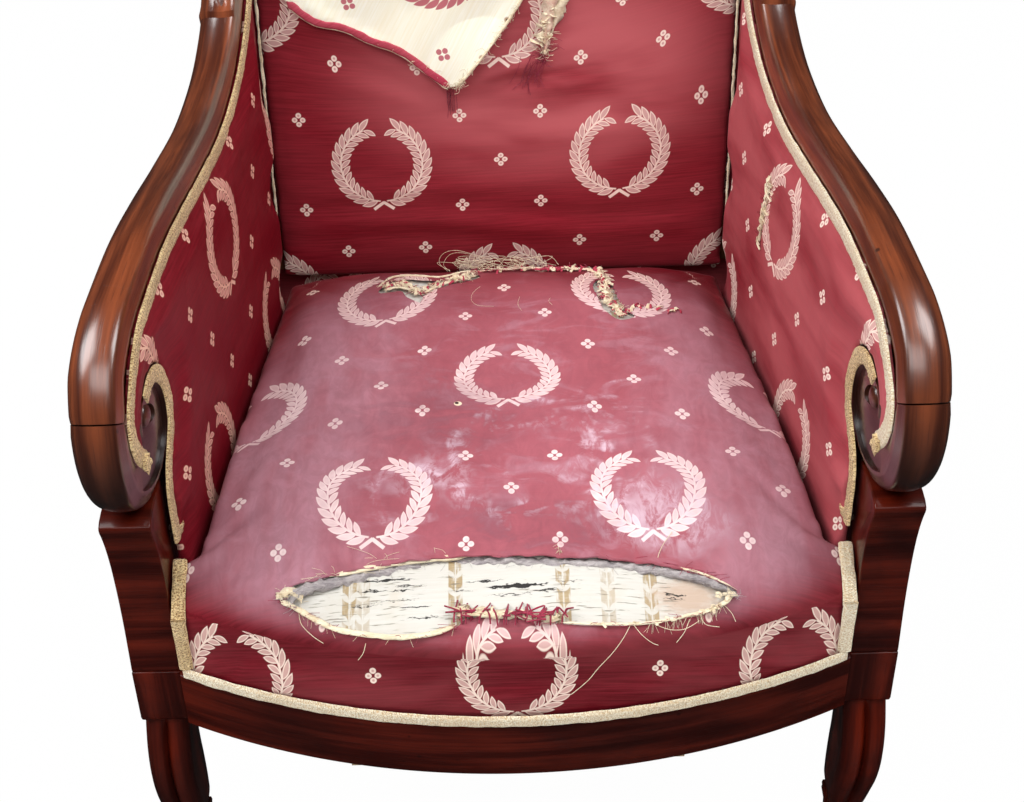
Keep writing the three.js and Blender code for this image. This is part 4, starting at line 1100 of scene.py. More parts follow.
def onArm(station, across, deep):
    y, z, inwardY, inwardZ, _ = station
    return inSide(y) + across, y + inwardY * deep, z + inwardZ * deep


def armSection(width, depth, crown=1.0, edge=None, step=None):
    # from the rebate up the inner face, over the crown, down the outer side and back underneath
    edge = arm["reveal"] if edge is None else edge
    step = arm["rebate"] if step is None else step
    over = [(4.2, 2.6 * crown)]
    over += [(share * width, low * crown) for share, low in arm["over"]]
    return [
        (0.0, edge), (0.0, 12.4 * crown), (0.5, 11.2 * crown), (2.9, 4.9 * crown), (3.6, 3.3 * crown),
        *denseCurve(over, 19),
        (width, lerp(21 * crown, depth, 0.6)), (width, depth - 2), (width - 2, depth), (step, depth),
        (step, edge),
    ]


def sheathSection(width, depth, swell, vein):
    points = armSection(width, depth)
    result = []
    for across, deep in points:
        onCrown = deep < depth - 3 and across > 3
        beside = abs(across - 0.44 * width)
        groove = vein * math.exp(-(beside / 2.0) ** 2)
        bulge = 1.1 * math.sin(min(beside / (0.5 * width), 1) * math.pi) * (1 if swell > 1 else 0)
        outward = 0.5 * swell if across > width - 3 else 0
        raised = swell + bulge if onCrown else -0.5
        result.append((across + outward, deep - raised + groove))
    return result


def armRing(station, section, atJoint):
    # the edges are eased where arm and scroll are glued together, so that the joint shows as a line
    if atJoint:
        section = [(lerp(a, 19, 0.03), d + (0.5 if d < 25 else 0)) for a, d in section]
    return [onArm(station, a, d) for a, d in section]


def makeArm():
    stations = [crownStation(i / 72) for i in range(72)]
    stations += [voluteStation(lerp(90, arm["joint"] - 0.4, i / 14)) for i in range(15)]
    rings = []
    for i, station in enumerate(stations):
        section = armSection(armWidth(station[0]), arm["depth"])
        rings.append(armRing(station, section, i == len(stations) - 1))
    body = sweep("armBody", rings)
    # the lotus sheath: a lip, then two swelling halves with the vein cut between them
    count = 30
    sheathRings = []
    for i in range(count + 1):
        t = i / count
        lip = math.exp(-((t - 0.035) / 0.02) ** 2)
        swell = 2.1 * ease(t / 0.03) - 0.8 * ease((t - 0.05) / 0.04) + 0.5 * lip + 0.5 * t
        vein = 4.2 * ease((t - 0.03) / 0.12)
        ring = []
        width = armWidth(420)
        for across, deep in sheathSection(width, arm["depth"] - 2, swell, vein):
            beside = abs(across - 0.44 * width) / (0.56 * width)
            scallop = 0.013 * beside ** 1.4 * (1 - t)
            station = crownStation(lerp(arm["sheathEnd"] + 0.006 - scallop, 0.02, t))
            ring.append(onArm(station, across + 0.2, deep))
        sheathRings.append(ring)
    sheath = sweep("sheath", sheathRings)
    whole = joinPieces([body, sheath], "arm_right_wood")
    front = Vector((0, 1, -chair["lean"])).normalized()
    cutAway(whole, place(0, stileFront(0) - 0.3, 0), front)
    return whole


def makeScroll():
    rings = []
    count = 84
    for i in range(count + 1):
        degrees = lerp(arm["joint"] + 0.4, arm["eyeEnd"], (i / count) ** 0.92)
        station = voluteStation(degrees)
        radius = station[4]
        turned = ease((degrees - arm["tongueEnd"] + 7) / 18)
        late = max(degrees - arm["tongueEnd"], 0) / (arm["eyeEnd"] - arm["tongueEnd"])
        crown = lerp(1.0, 0.5, late)
        width = armWidth(station[0]) - 9 * late - 0.01
        band = radius - bandInside(degrees)
        edge = lerp(band, lerp(15, 7.5, late), turned)
        step = lerp(arm["rebate"], 2.8 + 2.4 * late, turned)
        section = armSection(width, radius - arm["core"], crown, max(edge, 13.5 * crown), step)
        rings.append(armRing(station, section, i == 0))
    band = sweep("scrollBand", rings)
    # the eye's boss, a low dome on both faces
    boss = []
    centre = inSide(arm["voluteY"])
    for across, radius in arm["boss"]:
        ring = []
        for k in range(24):
            angle = 2 * math.pi * k / 24
            ring.append(
                (
                    centre + across, arm["voluteY"] + radius * math.cos(angle),
                    arm["voluteZ"] + radius * math.sin(angle),
                )
            )
        boss.append(ring)
    return joinPieces([band, sweep("boss", boss)], "arm_scroll_right_wood")


for make, node in ((makeArm, "arm"), (makeScroll, "arm_scroll")):
    right = make()
    smoothShade(right, 38)
    putMaterial(right, armWood)
    left = twin(right, f"{node}_left_wood")
    rideAs(right, "mahogany", f"{node}_right")
    rideAs(left, "mahogany", f"{node}_left")
print("arms and scrolls done")


def outlinePiece(name, outline, deep, place3d):
    # a flat outline pushed out to its thickness: place3d turns (a, b, depth) into a drawing point
    rings = [[place3d(a, b, depth) for a, b in outline] for depth in deep]
    return sweep(name, rings)


def makeConsole():
    front = [(1, 0), (2.6, 20), (4.6, 50), (4.8, 80), (3.0, 110), (-1.0, 133), (-5.2, 147), (-8, 154)]
    outline = denseCurve(front, 22) + [
        (-8.6, 157), (-7.8, 159.5), (-2, 162), (8, 162.5), (30, 161), (48, 158), (46, 110), (44, 0),
    ]
    deep = [0, 38]
    piece = outlinePiece(
        "arm_console_right_wood", outline, deep, lambda y, z, d: (chair["postInner"] + d, y, z)
    )
    applyModifier(
        piece, "BEVEL", width=0.0014, segments=3, limit_method="ANGLE", angle_limit=math.radians(32)
    )
    return piece


legFront = [(3, -57), (-12, -84), (-17, -112), (-12, -142), (0, -176), (14, -216), (20, -260), (14, -310)]
legBack = [(44, -57), (41, -110), (43, -142), (46, -174), (48, -215), (47, -260), (42, -310)]


def lineAt(points, height):
    line = np.array(denseCurve(points, 160))
    order = np.argsort(line[:, 1])
    return float(np.interp(height, line[order, 1], line[order, 0]))


leg = {
    "top": -57, "bottom": -310, "leafEnd": -214, "halfTop": 17.5, "halfFoot": 12, "taper": 180, "vein": 6.5
}


def legSection(height):
    onLeaf = ease((height - leg["leafEnd"]) / 26)
    isLeaf = height > leg["leafEnd"]
    half = lerp(leg["halfFoot"], leg["halfTop"], ease((height - leg["bottom"]) / leg["taper"]))
    w = half * (lerp(0.84, 1.0, onLeaf) if isLeaf else 0.9)
    front, back = lineAt(legFront, height), lineAt(legBack, height)
    vein = (
        leg["vein"] * ease((leg["top"] + 4 - height) / 16) * ease((height - leg["leafEnd"] - 3) / 34)
        if isLeaf else 0
    )
    lobe = 2.0 * onLeaf * ease((leg["top"] - height) / 14) if isLeaf else 0
    half1 = [
        (0.0, front + vein), (0.07 * w, front + vein * 0.62), (0.16 * w, front + vein * 0.2),
        (0.32 * w, front - lobe * 0.4), (0.5 * w, front - lobe * 0.5), (0.66 * w, front + 0.8 - lobe * 0.3),
        (0.8 * w, front + 3.0), (0.92 * w, front + 6.0), (w, front + 10.5), (w, front + 13),
        (0.965 * w, front + 14.2 + onLeaf), (0.965 * w, lerp(front, back, 0.65)), (0.95 * w, back - 3),
        (0.86 * w, back - 0.6), (0.4 * w, back),
    ]
    return [(a, b) for a, b in reversed(half1)] + [(-a, b) for a, b in half1[1:]]


def makeFrontLeg():
    x = 281.5
    heights = [lerp(leg["top"] + 2, leg["bottom"], i / 92) for i in range(93)]
    shaft = sweep("shaft", [[(x + a, b, h) for a, b in legSection(h)] for h in heights])
    proud = [
        (5, 0.0), (4, 1.2), (2.8, 2.0), (1.2, 1.5), (0, 1.1), (-1.2, 1.5), (-2.8, 2.0), (-4, 1.2), (-5, 0.0)
    ]
    bandRings = []
    for offset, out in proud:
        h = leg["leafEnd"] + offset
        section = legSection(min(h, leg["leafEnd"] - 0.1))
        middle = (lineAt(legFront, h) + lineAt(legBack, h)) / 2
        grow = 1 + out / 13
        bandRings.append([(x + a * grow, middle + (b - middle) * grow, h) for a, b in section])
    ring = sweep("ring", bandRings)
    inner, outer, depth = chair["postInner"], chair["postOuter"], chair["postDepth"]
    blockRings = []
    for inset, height in (
        (1.2, -0.3), (0.35, -0.7), (0, -1.5), (0, -52), (0.5, -54.6), (2.0, -56.4), (4.4, -57)
    ):
        blockRings.append([(inner + inset, inset, height), (outer - inset, inset, height),
                           (outer - inset, depth - inset, height), (inner + inset, depth - inset, height)])
    block = sweep("block", blockRings)
    applyModifier(block, "BEVEL", width=0.001, segments=2, limit_method="ANGLE", angle_limit=math.radians(60))
    return joinPieces([shaft, ring, block], "front_leg_right_wood")


stileLine = [(548, -310), (508, -220), (470, -130), (450, -50)]
stileLine += [(stileFront(z), z) for z in (40, 160, 300, 440, 562)]


def makeUpright():
    rings = []
    for i in range(81):
        height = lerp(chair["floor"], chair["stileTop"] - 0.3, i / 80)
        low = ease((-60 - height) / 200)
        depth = lerp(chair["stileDepth"], 28, low)
        inner = chair["stileOuter"] - chair["stileWidth"] + 6 * low
        outer = chair["stileOuter"] - 3 * low
        y = lineAt(stileLine, height)
        ring = []
        for cx, cy, start in ((inner, depth, 90), (inner, 0, 180), (outer, 0, 270), (outer, depth, 0)):
            r = 3.2
            mx = cx + (r if cx == inner else -r)
            my = cy + (r if cy == 0 else -r)
            for step in range(4):
                angle = math.radians(start + 30 * step)
                ring.append((mx + r * math.cos(angle), y + my + r * math.sin(angle), height))
        rings.append(ring)
    return sweep("back_upright_right_wood", rings)


for make, node, sharp in (
    (makeConsole, "arm_console", 40), (makeFrontLeg, "front_leg", 42), (makeUpright, "back_upright", 40)
):
    right = make()
    smoothShade(right, sharp)
    putMaterial(right, postWood)
    left = twin(right, f"{node}_left_wood")
    rideAs(right, "mahogany", f"{node}_right")
    rideAs(left, "mahogany", f"{node}_left")

crest = {"half": 262, "depth": 78, "rise": 10, "thick": 34}


def makeCrest():
    outline = [(-crest["half"], 0), (crest["half"], 0)]
    for i in range(25):
        t = i / 24
        x = lerp(crest["half"], -crest["half"], t)
        outline.append((x, crest["depth"] - crest["rise"] * (1 - 4 * t * (1 - t))))
    base = chair["stileTop"]

    def stand(x, up, back):
        return x, stileFront(base + up) + back, base + up

    piece = outlinePiece("crest_rail_wood", outline, [0, crest["thick"]], stand)
    applyModifier(piece, "BEVEL", width=0.004, segments=4, limit_method="ANGLE", angle_limit=math.radians(40))
    smoothShade(piece, 40)
    putMaterial(piece, railWood)
    rideAs(piece, "mahogany", "crest_rail")


def makeFrontRail():
    rings = []
    for i in range(73):
        x = lerp(-261.7, 261.7, i / 72)
        y = bowFront(x)
        section = [
            (26, -57), (4, -57), (2.2, -56.6), (0.8, -55.4), (0, -53), (0, -2), (0.5, -0.8), (1.4, -0.3),
            (26, -0.3),
        ]
        rings.append([(x, y + a, z) for a, z in section])
    piece = sweep("front_rail_wood", rings)
    smoothShade(piece, 40)
    putMaterial(piece, postWood)
    rideAs(piece, "mahogany", "front_rail")


makeCrest()
makeFrontRail()
print("legs, consoles, uprights and rails done")

# Upholstery

seat = {
    "edge": 67,
    "roll": 46,
    "crown": [(-70, 94), (0, 98), (77, 104), (130, 105), (205, 101), (350, 87), (448, 70)],
    "sideDrop": 13,
    "back": 448,
    "voxel": 0.005,
    "pressure": 4.0,
    "cap": 0.004,
}
crownHeights = np.array(denseCurve(seat["crown"], 200))


def seatHalf(y):
    return lerp(260.8, chair["postInner"] - chair["splay"] * y - 11, ease((y - 30) / 12))


def seatHeight(x, y):
    crown = np.interp(y, crownHeights[:, 0], crownHeights[:, 1])
    roll = np.clip((y - bowFront(x)) / seat["roll"], 0, 1)
    front = (crown - seat["edge"]) * (1 - np.sqrt(np.clip(1 - (1 - roll) ** 2, 0, 1)))
    edge = np.clip(np.abs(x) / seatHalf(y), 0, 1)
    corner = 8 * ease((60 - y) / 60)
    lumps = 1.6 * np.sin(x / 47 + 0.6) * np.cos(y / 52) + 1.1 * np.sin(x / 23 + y / 31)
    settled = -4.0 * np.exp(-((x + 40) / 120) ** 2 - ((y - 215) / 110) ** 2)
    return (
        crown - front - (seat["sideDrop"] + corner) * edge ** 5 + (lumps + settled) * (1 - edge ** 3) * roll
    )


def gridPiece(name, columns, rows, spot):
    # a primitive grid whose points are carried to their places: spot(u, v) for whole arrays, u and v from 0
    # to 1
    clearSelection()
    bpy.ops.mesh.primitive_grid_add(x_subdivisions=columns, y_subdivisions=rows, size=1)
    piece = bpy.context.object
    piece.name = name
    start = np.empty(len(piece.data.vertices) * 3)
    piece.data.vertices.foreach_get("co", start)
    start = start.reshape(-1, 3)
    x, y, z = spot(start[:, 0] + 0.5, start[:, 1] + 0.5)
    carried = np.stack([x / 1000, y / 1000 + postFront, z / 1000 + railTop], axis=1)
    piece.data.vertices.foreach_set("co", carried.ravel())
    piece.data.update()
    return piece


def coordinatesOf(piece):
    found = np.empty(len(piece.data.vertices) * 3)
    piece.data.vertices.foreach_get("co", found)
    return found.reshape(-1, 3)


def setCoordinates(piece, coordinates):
    piece.data.vertices.foreach_set("co", coordinates.ravel())
    piece.data.update()


def normalsOf(piece):
    found = np.empty(len(piece.data.vertices) * 3)
    piece.data.vertices.foreach_get("normal", found)
    return found.reshape(-1, 3)


def mapCloth(piece, spread):
    # the cloth map, in millimetres of cloth: spread gives (u, v) for whole arrays of drawing points
    u, v = spread(*drawn(coordinatesOf(piece)))
    vertices = np.empty(len(piece.data.loops), dtype=np.int32)
    piece.data.loops.foreach_get("vertex_index", vertices)
    layer = piece.data.uv_layers.get("cloth") or piece.data.uv_layers.new(name="cloth")
    layer.data.foreach_set("uv", np.stack([u[vertices], v[vertices]], axis=1).ravel())


def puff(piece, look, held):
    # the stuffed form: evened out, then blown up a little like cloth over stuffing, held where it is tacked
    applyModifier(piece, "REMESH", mode="VOXEL", voxel_size=look["voxel"])
    applyModifier(piece, "SMOOTH", factor=0.5, iterations=4)
    start = coordinatesOf(piece)
    group = piece.vertex_groups.new(name="tacked")
    weights = held(*drawn(start))
    group.add([int(i) for i in np.nonzero(weights)[0]], 1.0, "REPLACE")
    pick(piece)
    cloth = piece.modifiers.new("Cloth", "CLOTH")
    settings = cloth.settings
    settings.quality = 4
    settings.mass = 0.3
    settings.tension_stiffness = 12
    settings.compression_stiffness = 12
    settings.bending_stiffness = 0.6
    settings.use_pressure = True
    settings.uniform_pressure_force = look["pressure"]
    settings.vertex_group_mass = "tacked"
    settings.effector_weights.gravity = 0
    cloth.collision_settings.use_collision = False
    for number in range(1, 21):
        scene.frame_set(number)
    bpy.ops.object.modifier_apply(modifier=cloth.name)
    scene.frame_set(1)
    moved = coordinatesOf(piece) - start
    size = np.linalg.norm(moved, axis=1, keepdims=True)
    moved *= np.minimum(1.0, look["cap"] / np.maximum(size, 1e-9))
    setCoordinates(piece, start + moved)
    piece.vertex_groups.clear()


def closeDown(piece, base):
    # walls from the edge of a grid down to the rails, and a flat underside
    pick(piece)
    bpy.ops.object.mode_set(mode="EDIT")
    bpy.ops.mesh.select_all(action="SELECT")
    bpy.ops.mesh.region_to_loop()
    bpy.ops.mesh.extrude_edges_move(TRANSFORM_OT_translate={"value": (0, 0, -0.001)})
    mesh = bmesh.from_edit_mesh(piece.data)
    for vert in mesh.verts:
        if vert.select:
            vert.co.z = base
    bmesh.update_edit_mesh(piece.data)
    bpy.ops.mesh.edge_face_add()
    bpy.ops.mesh.select_all(action="SELECT")
    bpy.ops.mesh.normals_make_consistent(inside=False)
    bpy.ops.object.mode_set(mode="OBJECT")


def seatGrid(name, inset):
    def spot(u, v):
        side = np.sin((2 * u - 1) * math.pi / 2.3) / math.sin(math.pi / 2.3)
        run = v ** 1.5
        guess = lerp(-40, seat["back"], run)
        x = side * (seatHalf(np.maximum(guess, 0)) - inset)
        y = lerp(bowFront(x) + 1 + inset, seat["back"] - inset, run)
        x = side * (seatHalf(y) - inset)
        return x, y, seatHeight(x, y) - inset

    piece = gridPiece(name, 70, 90, spot)
    closeDown(piece, railTop + 0.0006)
    return piece


# how far along the cloth, front to back, each drawing point of the seat lies; 0 is the front row of wreaths
# on top
clothKnots = {
    "length": [-260, -170, 10, 124, 278, 440], "map": [-230, -140, 0, 140, 280, 442], "settle": 38,
    "across": 107,
}


def seatSpread(x, y, z):
    front = bowFront(x) + 1
    roll = np.clip((y - front) / seat["roll"], 0, 1)
    steps = 24
    turn = np.linspace(0, 1, steps + 1)
    rise = 30.0
    ellipseY = seat["roll"] * (1 - np.cos(turn * math.pi / 2))
    ellipseZ = rise * np.sin(turn * math.pi / 2)
    arc = np.concatenate([[0], np.cumsum(np.hypot(np.diff(ellipseY), np.diff(ellipseZ)))])
    onRoll = np.interp(roll * seat["roll"], ellipseY, arc)
    upFace = np.clip(z, 0, seat["edge"])
    flat = np.clip(y - front - seat["roll"], 0, None)
    # measured from the foot of the front face, then from the front row of wreaths
    fromFoot = upFace + np.where(z > seat["edge"] - 1, onRoll, 0) + flat
    reference = seat["edge"] + arc[-1] + (77 - (front + seat["roll"]))
    length = fromFoot - reference
    length = length - clothKnots["settle"] * (1 - (x / 200) ** 2) * ease((length - 40) / 100)
    return x + clothKnots["across"], np.interp(length, clothKnots["length"], clothKnots["map"])


def makeSeat():
    old = seatGrid("seat_old_cover_silk", 4.5)
    puff(old, seat, lambda x, y, z: (z < 4) | (y > 440))
    smoothShade(old, 180)
    cover = old.copy()
    cover.data = old.data.copy()
    cover.name = "seat_cover_satin"
    bpy.context.collection.objects.link(cover)

    mapCloth(old, lambda x, y, z: (x + 0 * y, seatSpread(x, y, z)[1]))
    putMaterial(old, stripedSilk)
    rideAs(old, "cream_silk", "seat_old_cover", "seat_stuffing")
    return cover


seatCover = makeSeat()
print("seat stuffed")


def dropFaces(piece, unwanted):
    pick(piece)
    bpy.ops.object.mode_set(mode="EDIT")
    mesh = bmesh.from_edit_mesh(piece.data)
    doomed = [face for face in mesh.faces if unwanted(face)]
    bmesh.ops.delete(mesh, geom=doomed, context="FACES")
    bmesh.update_edit_mesh(piece.data)
    bpy.ops.object.mode_set(mode="OBJECT")


# The tears are flattened along the way one looks down at the front edge, so that each is a plain outline
lookDown = {"back": math.cos(math.radians(52)), "up": math.sin(math.radians(52))}


def flattened(x, y, z):
    return np.stack([x, y * lookDown["back"] + z * lookDown["up"]], axis=1)


def insideOutline(points, outline):
    inside = np.zeros(len(points), dtype=bool)
    for (ax, ay), (bx, by) in zip(outline, np.roll(outline, -1, axis=0)):
        crosses = (ay > points[:, 1]) != (by > points[:, 1])
        at = ax + (points[:, 1] - ay) * (bx - ax) / ((by - ay) or 1e-9)
        inside ^= crosses & (points[:, 0] < at)
    return inside


def nearestOn(line, points):
    # index of the closest point of a line, and how far away it is
    index = np.zeros(len(points), dtype=int)
    for start in range(0, len(points), 4000):
        part = points[start:start + 4000]
        index[start:start + 4000] = np.argmin(
            ((part[:, None, :] - line[None, :, :]) ** 2).sum(axis=2), axis=1
        )
    return index, np.linalg.norm(points - line[index], axis=1)


def cutTear(piece, backLip, frontLip, lift):
    # opens the cloth inside two lips, brings the cut edge onto the line and lifts it a little
    outline = [*backLip, *reversed(frontLip), backLip[0]]
    line = evenCurve(outline, 1.2)
    flatLine = flattened(*line.T)
    x, y, z = drawn(coordinatesOf(piece))
    inside = insideOutline(flattened(x, y, z), flatLine) & (z > 40)
    pick(piece)
    bpy.ops.object.mode_set(mode="EDIT")
    mesh = bmesh.from_edit_mesh(piece.data)
    doomed = [face for face in mesh.faces if all(inside[vert.index] for vert in face.verts)]
    bmesh.ops.delete(mesh, geom=doomed, context="FACES")
    bmesh.update_edit_mesh(piece.data)
    bpy.ops.object.mode_set(mode="OBJECT")
    coordinates = coordinatesOf(piece)
    x, y, z = drawn(coordinates)
    flat = flattened(x, y, z)
    near = np.nonzero((insideOutline(flat, flatLine) | (np.abs(y - line[:, 1].mean()) < 90)) & (z > 40))[0]
    index, away = nearestOn(flatLine, flat[near])
    snapped = insideOutline(flat[near], flatLine)
    move = (flatLine[index] - flat[near]) * snapped[:, None] / 1000
    coordinates[near, 0] += move[:, 0]
    coordinates[near, 1] += move[:, 1] * lookDown["back"]
    coordinates[near, 2] += move[:, 1] * lookDown["up"]
    away = np.where(snapped, 0, away)
    isBack = index < len(line) * 0.5
    rise = np.where(isBack, lift[0], lift[1]) * np.exp(-(away / 7) ** 2)
    ripple = 1 + 0.35 * np.sin(index * 0.16) + 0.25 * np.sin(index * 0.37 + 1)
    coordinates[near] += normalsOf(piece)[near] * (rise * ripple / 1000)[:, None]
    setCoordinates(piece, coordinates)


frontTear = {
    "backLip": [
        (-178.5, -12.2, 89.6), (-167.6, -5.3, 92.8), (-156.5, -1.8, 94.2), (-137.9, 2.3, 95.7),
        (-111.9, 8.7, 96.9), (-85.8, 14.4, 96.7), (-59.4, 18.1, 96.5), (-32.9, 18.2, 97.4),
        (1.1, 15.7, 99.6), (34.9, 12.5, 100.4), (64.9, 10.4, 99.2), (94.8, 6.9, 97.3), (117, 1.9, 96.1),
        (138.8, -5.2, 94.9), (154.5, -13, 92.6), (165.2, -18.7, 89.5),
    ],
    "frontLip": [
        (-175, -16, 89), (-171, -19, 88.5), (-161, -25, 87), (-145, -35, 84), (-129, -43, 82),
        (-92, -51, 82), (-63, -51, 84), (-44, -47, 88), (-35, -41, 90.5), (-11, -40, 91), (32, -47, 89),
        (65, -48, 87), (98, -46, 85), (136, -37, 85), (153, -30, 86), (164, -22, 88.6),
    ],
    "lift": (2.2, 0.9),
}
# the two tears at the back, as rows of (x, y)
rearLeftTear = {
    "backLip": [(-117, 398), (-105, 419), (-88, 424), (-60, 420), (-39, 429), (-22, 428)],
    "frontLip": [
        (-112, 392), (-96, 397), (-89, 384), (-77, 372), (-73, 388), (-59, 404), (-35, 416), (-24, 421)
    ],
    "lift": (0.8, 0.8),
}
rearRightTear = {
    "backLip": [(86, 415), (99, 405), (104, 370), (108, 350), (116, 338)],
    "frontLip": [(82, 400), (84, 378), (88, 352), (95, 336), (104, 327)],
    "lift": (1.0, 1.0),
}


def onSeat(points):
    return [(x, y, float(seatHeight(np.array([x]), np.array([y]))[0]) - 1.0) for x, y in points]


def finishSeatCover():
    dropFaces(seatCover, lambda face: face.normal.z < -0.5 and face.calc_center_median().z < railTop + 0.004)
    applyModifier(seatCover, "SUBSURF", levels=1, render_levels=1)
    setCoordinates(seatCover, coordinatesOf(seatCover) + normalsOf(seatCover) * 0.0036)
    cutTear(seatCover, frontTear["backLip"], frontTear["frontLip"], frontTear["lift"])
    for tear in (rearLeftTear, rearRightTear):
        cutTear(seatCover, onSeat(tear["backLip"]), onSeat(tear["frontLip"]), tear["lift"])
    mapCloth(seatCover, seatSpread)
    applyModifier(
        seatCover, "SOLIDIFY", thickness=0.0012, offset=-1, material_offset=1, material_offset_rim=1
    )
    smoothShade(seatCover, 60)
    putMaterial(seatCover, seatSatin, reverse)
    rideAs(seatCover, "crimson_satin", "seat_cover")


finishSeatCover()
chance = np.random.default_rng(7)

# which named finish each loose piece belongs to
slotOf = {
    rawSilk: "cream_silk",
    tuftedSilk: "cream_silk",
    creamThread: "cream_silk",
    crimsonThread: "crimson_satin",
    hemSheenSatin: "crimson_satin",
    rightFadedLitSatin: "crimson_satin",
    greyWool: "grey_wadding",
    goldBraid: "gold_braid",
}


def about(middle, spread):
    return float(chance.normal(middle, spread))


def anywhere(low, high):
    return float(chance.uniform(low, high))


def anyOf(points, last):
    return points[int(chance.integers(0, last))]


def ruffled(points, half, lumps=0.0, sides=10, taper=0.08, step=2.0, off=(0, 0, 1)):
    # rings round a line for a rolled edge: half gives its half width and half thickness along the way
    line = evenCurve(points, step)
    tangent = np.gradient(line, axis=0)
    tangent /= np.linalg.norm(tangent, axis=1, keepdims=True)
    rings = []
    for i, (middle, along) in enumerate(zip(line, tangent)):
        t = i / (len(line) - 1)
        side = np.cross(along, off)
        side /= np.linalg.norm(side)
        up = np.cross(side, along)
        wide, thick = half(t)
        narrow = max(ease(t / taper) * ease((1 - t) / taper), 0.12)
        ring = []
        for k in range(sides):
            a = 2 * math.pi * k / sides
            rough = 1 + lumps * noise.noise(Vector((i * 0.23, math.cos(a) * 1.3, math.sin(a) * 1.3)))
            ring.append(
                tuple(middle + (side * wide * math.cos(a) + up * thick * math.sin(a)) * rough * narrow)
            )
        rings.append(ring)
    return rings


def rolledEdge(
    name, points, half, material, lumps=0.5, nodes=(), slot=None, taper=0.08, step=2.0, sides=10,
    off=(0, 0, 1),
):
    piece = sweep(name, ruffled(points, half, lumps, sides, taper, step, off))
    smoothShade(piece, 180)
    putMaterial(piece, material)
    rideAs(piece, slot or slotOf[material], *nodes)
    return piece


def threads(name, paths, thick, material, wide=0.0):
    # loose threads, each along its own row of drawing points; with a width they are torn strips, each
    # twisted its own way
    curve = bpy.data.curves.new(name, "CURVE")
    curve.dimensions = "3D"
    curve.bevel_depth = thick / 2000
    curve.extrude = wide / 2000
    curve.bevel_resolution = 1
    curve.use_fill_caps = True
    for path in paths:
        points = denseCurve(path, 4 * len(path))
        spline = curve.splines.new("POLY")
        spline.points.add(len(points) - 1)
        twist = anywhere(-0.5, 0.5) if wide else 0.0
        for number, (spot, point) in enumerate(zip(spline.points, points)):
            spot.co = (*place(*point), 1)
            spot.tilt = math.pi / 2 + twist * number * 0.4 if wide else 0.0
    piece = bpy.data.objects.new(name, curve)
    bpy.context.collection.objects.link(piece)
    pick(piece)
    bpy.ops.object.convert(target="MESH")
    putMaterial(piece, material)
    rideAs(piece, slotOf[material])


def shifted(points, x=0.0, y=0.0, z=0.0):
    return [(a + x, b + y, c + z) for a, b, c in points]


def between(points, low, high):
    return [point for point in points if low <= point[0] <= high]


def fuzz(line, count, reach, lift, spread=1.0, off="seat"):
    # short fibres that stand off a line, each bent its own way: upwards from the seat, or forwards from the
    # back
    dense = denseCurve(line, 400)
    paths = []
    for _ in range(count):
        x, y, z = anyOf(dense, 399)
        dx, dy = chance.normal(0, reach * spread), chance.normal(0, reach)
        dz = abs(chance.normal(0, lift))
        if off == "back":
            dy, dz = -dz, dy
        paths.append(
            [
                (x, y, z), (x + dx * 0.35, y + dy * 0.45, z + dz),
                (x + dx, y + dy, z + dz * anywhere(0.2, 1.2)),
            ]
        )
    return paths


def fringe(line, count, drop, out):
    # fibres that hang down over the front of a lip
    dense = denseCurve(line, 400)
    paths = []
    for _ in range(count):
        x, y, z = anyOf(dense, 399)
        dx = chance.normal(0, 2.5)
        fall = drop * anywhere(0.25, 1.0)
        paths.append([(x, y, z), (x + dx * 0.4, y - out, z - fall * 0.3), (x + dx, y - out * 1.5, z - fall)])
    return paths


def rags(line, count, long, lift):
    # torn strips that lie about along a line
    dense = denseCurve(line, 400)
    paths = []
    for _ in range(count):
        x, y, z = anyOf(dense, 399)
        turn = anywhere(0, 2 * math.pi)
        dx, dy = long * anywhere(0.4, 1) * math.cos(turn), long * anywhere(0.4, 1) * math.sin(turn)
        up = lift * anywhere(0.3, 1)
        x, y = x + about(0, 1.6), y + about(0, 1.6)
        paths.append(
            [
                (x - dx / 2, y - dy / 2, z), (x - dy * 0.12, y + dx * 0.12, z + up),
                (x + dx / 2, y + dy / 2, z + up * 0.3),
            ]
        )
    return paths


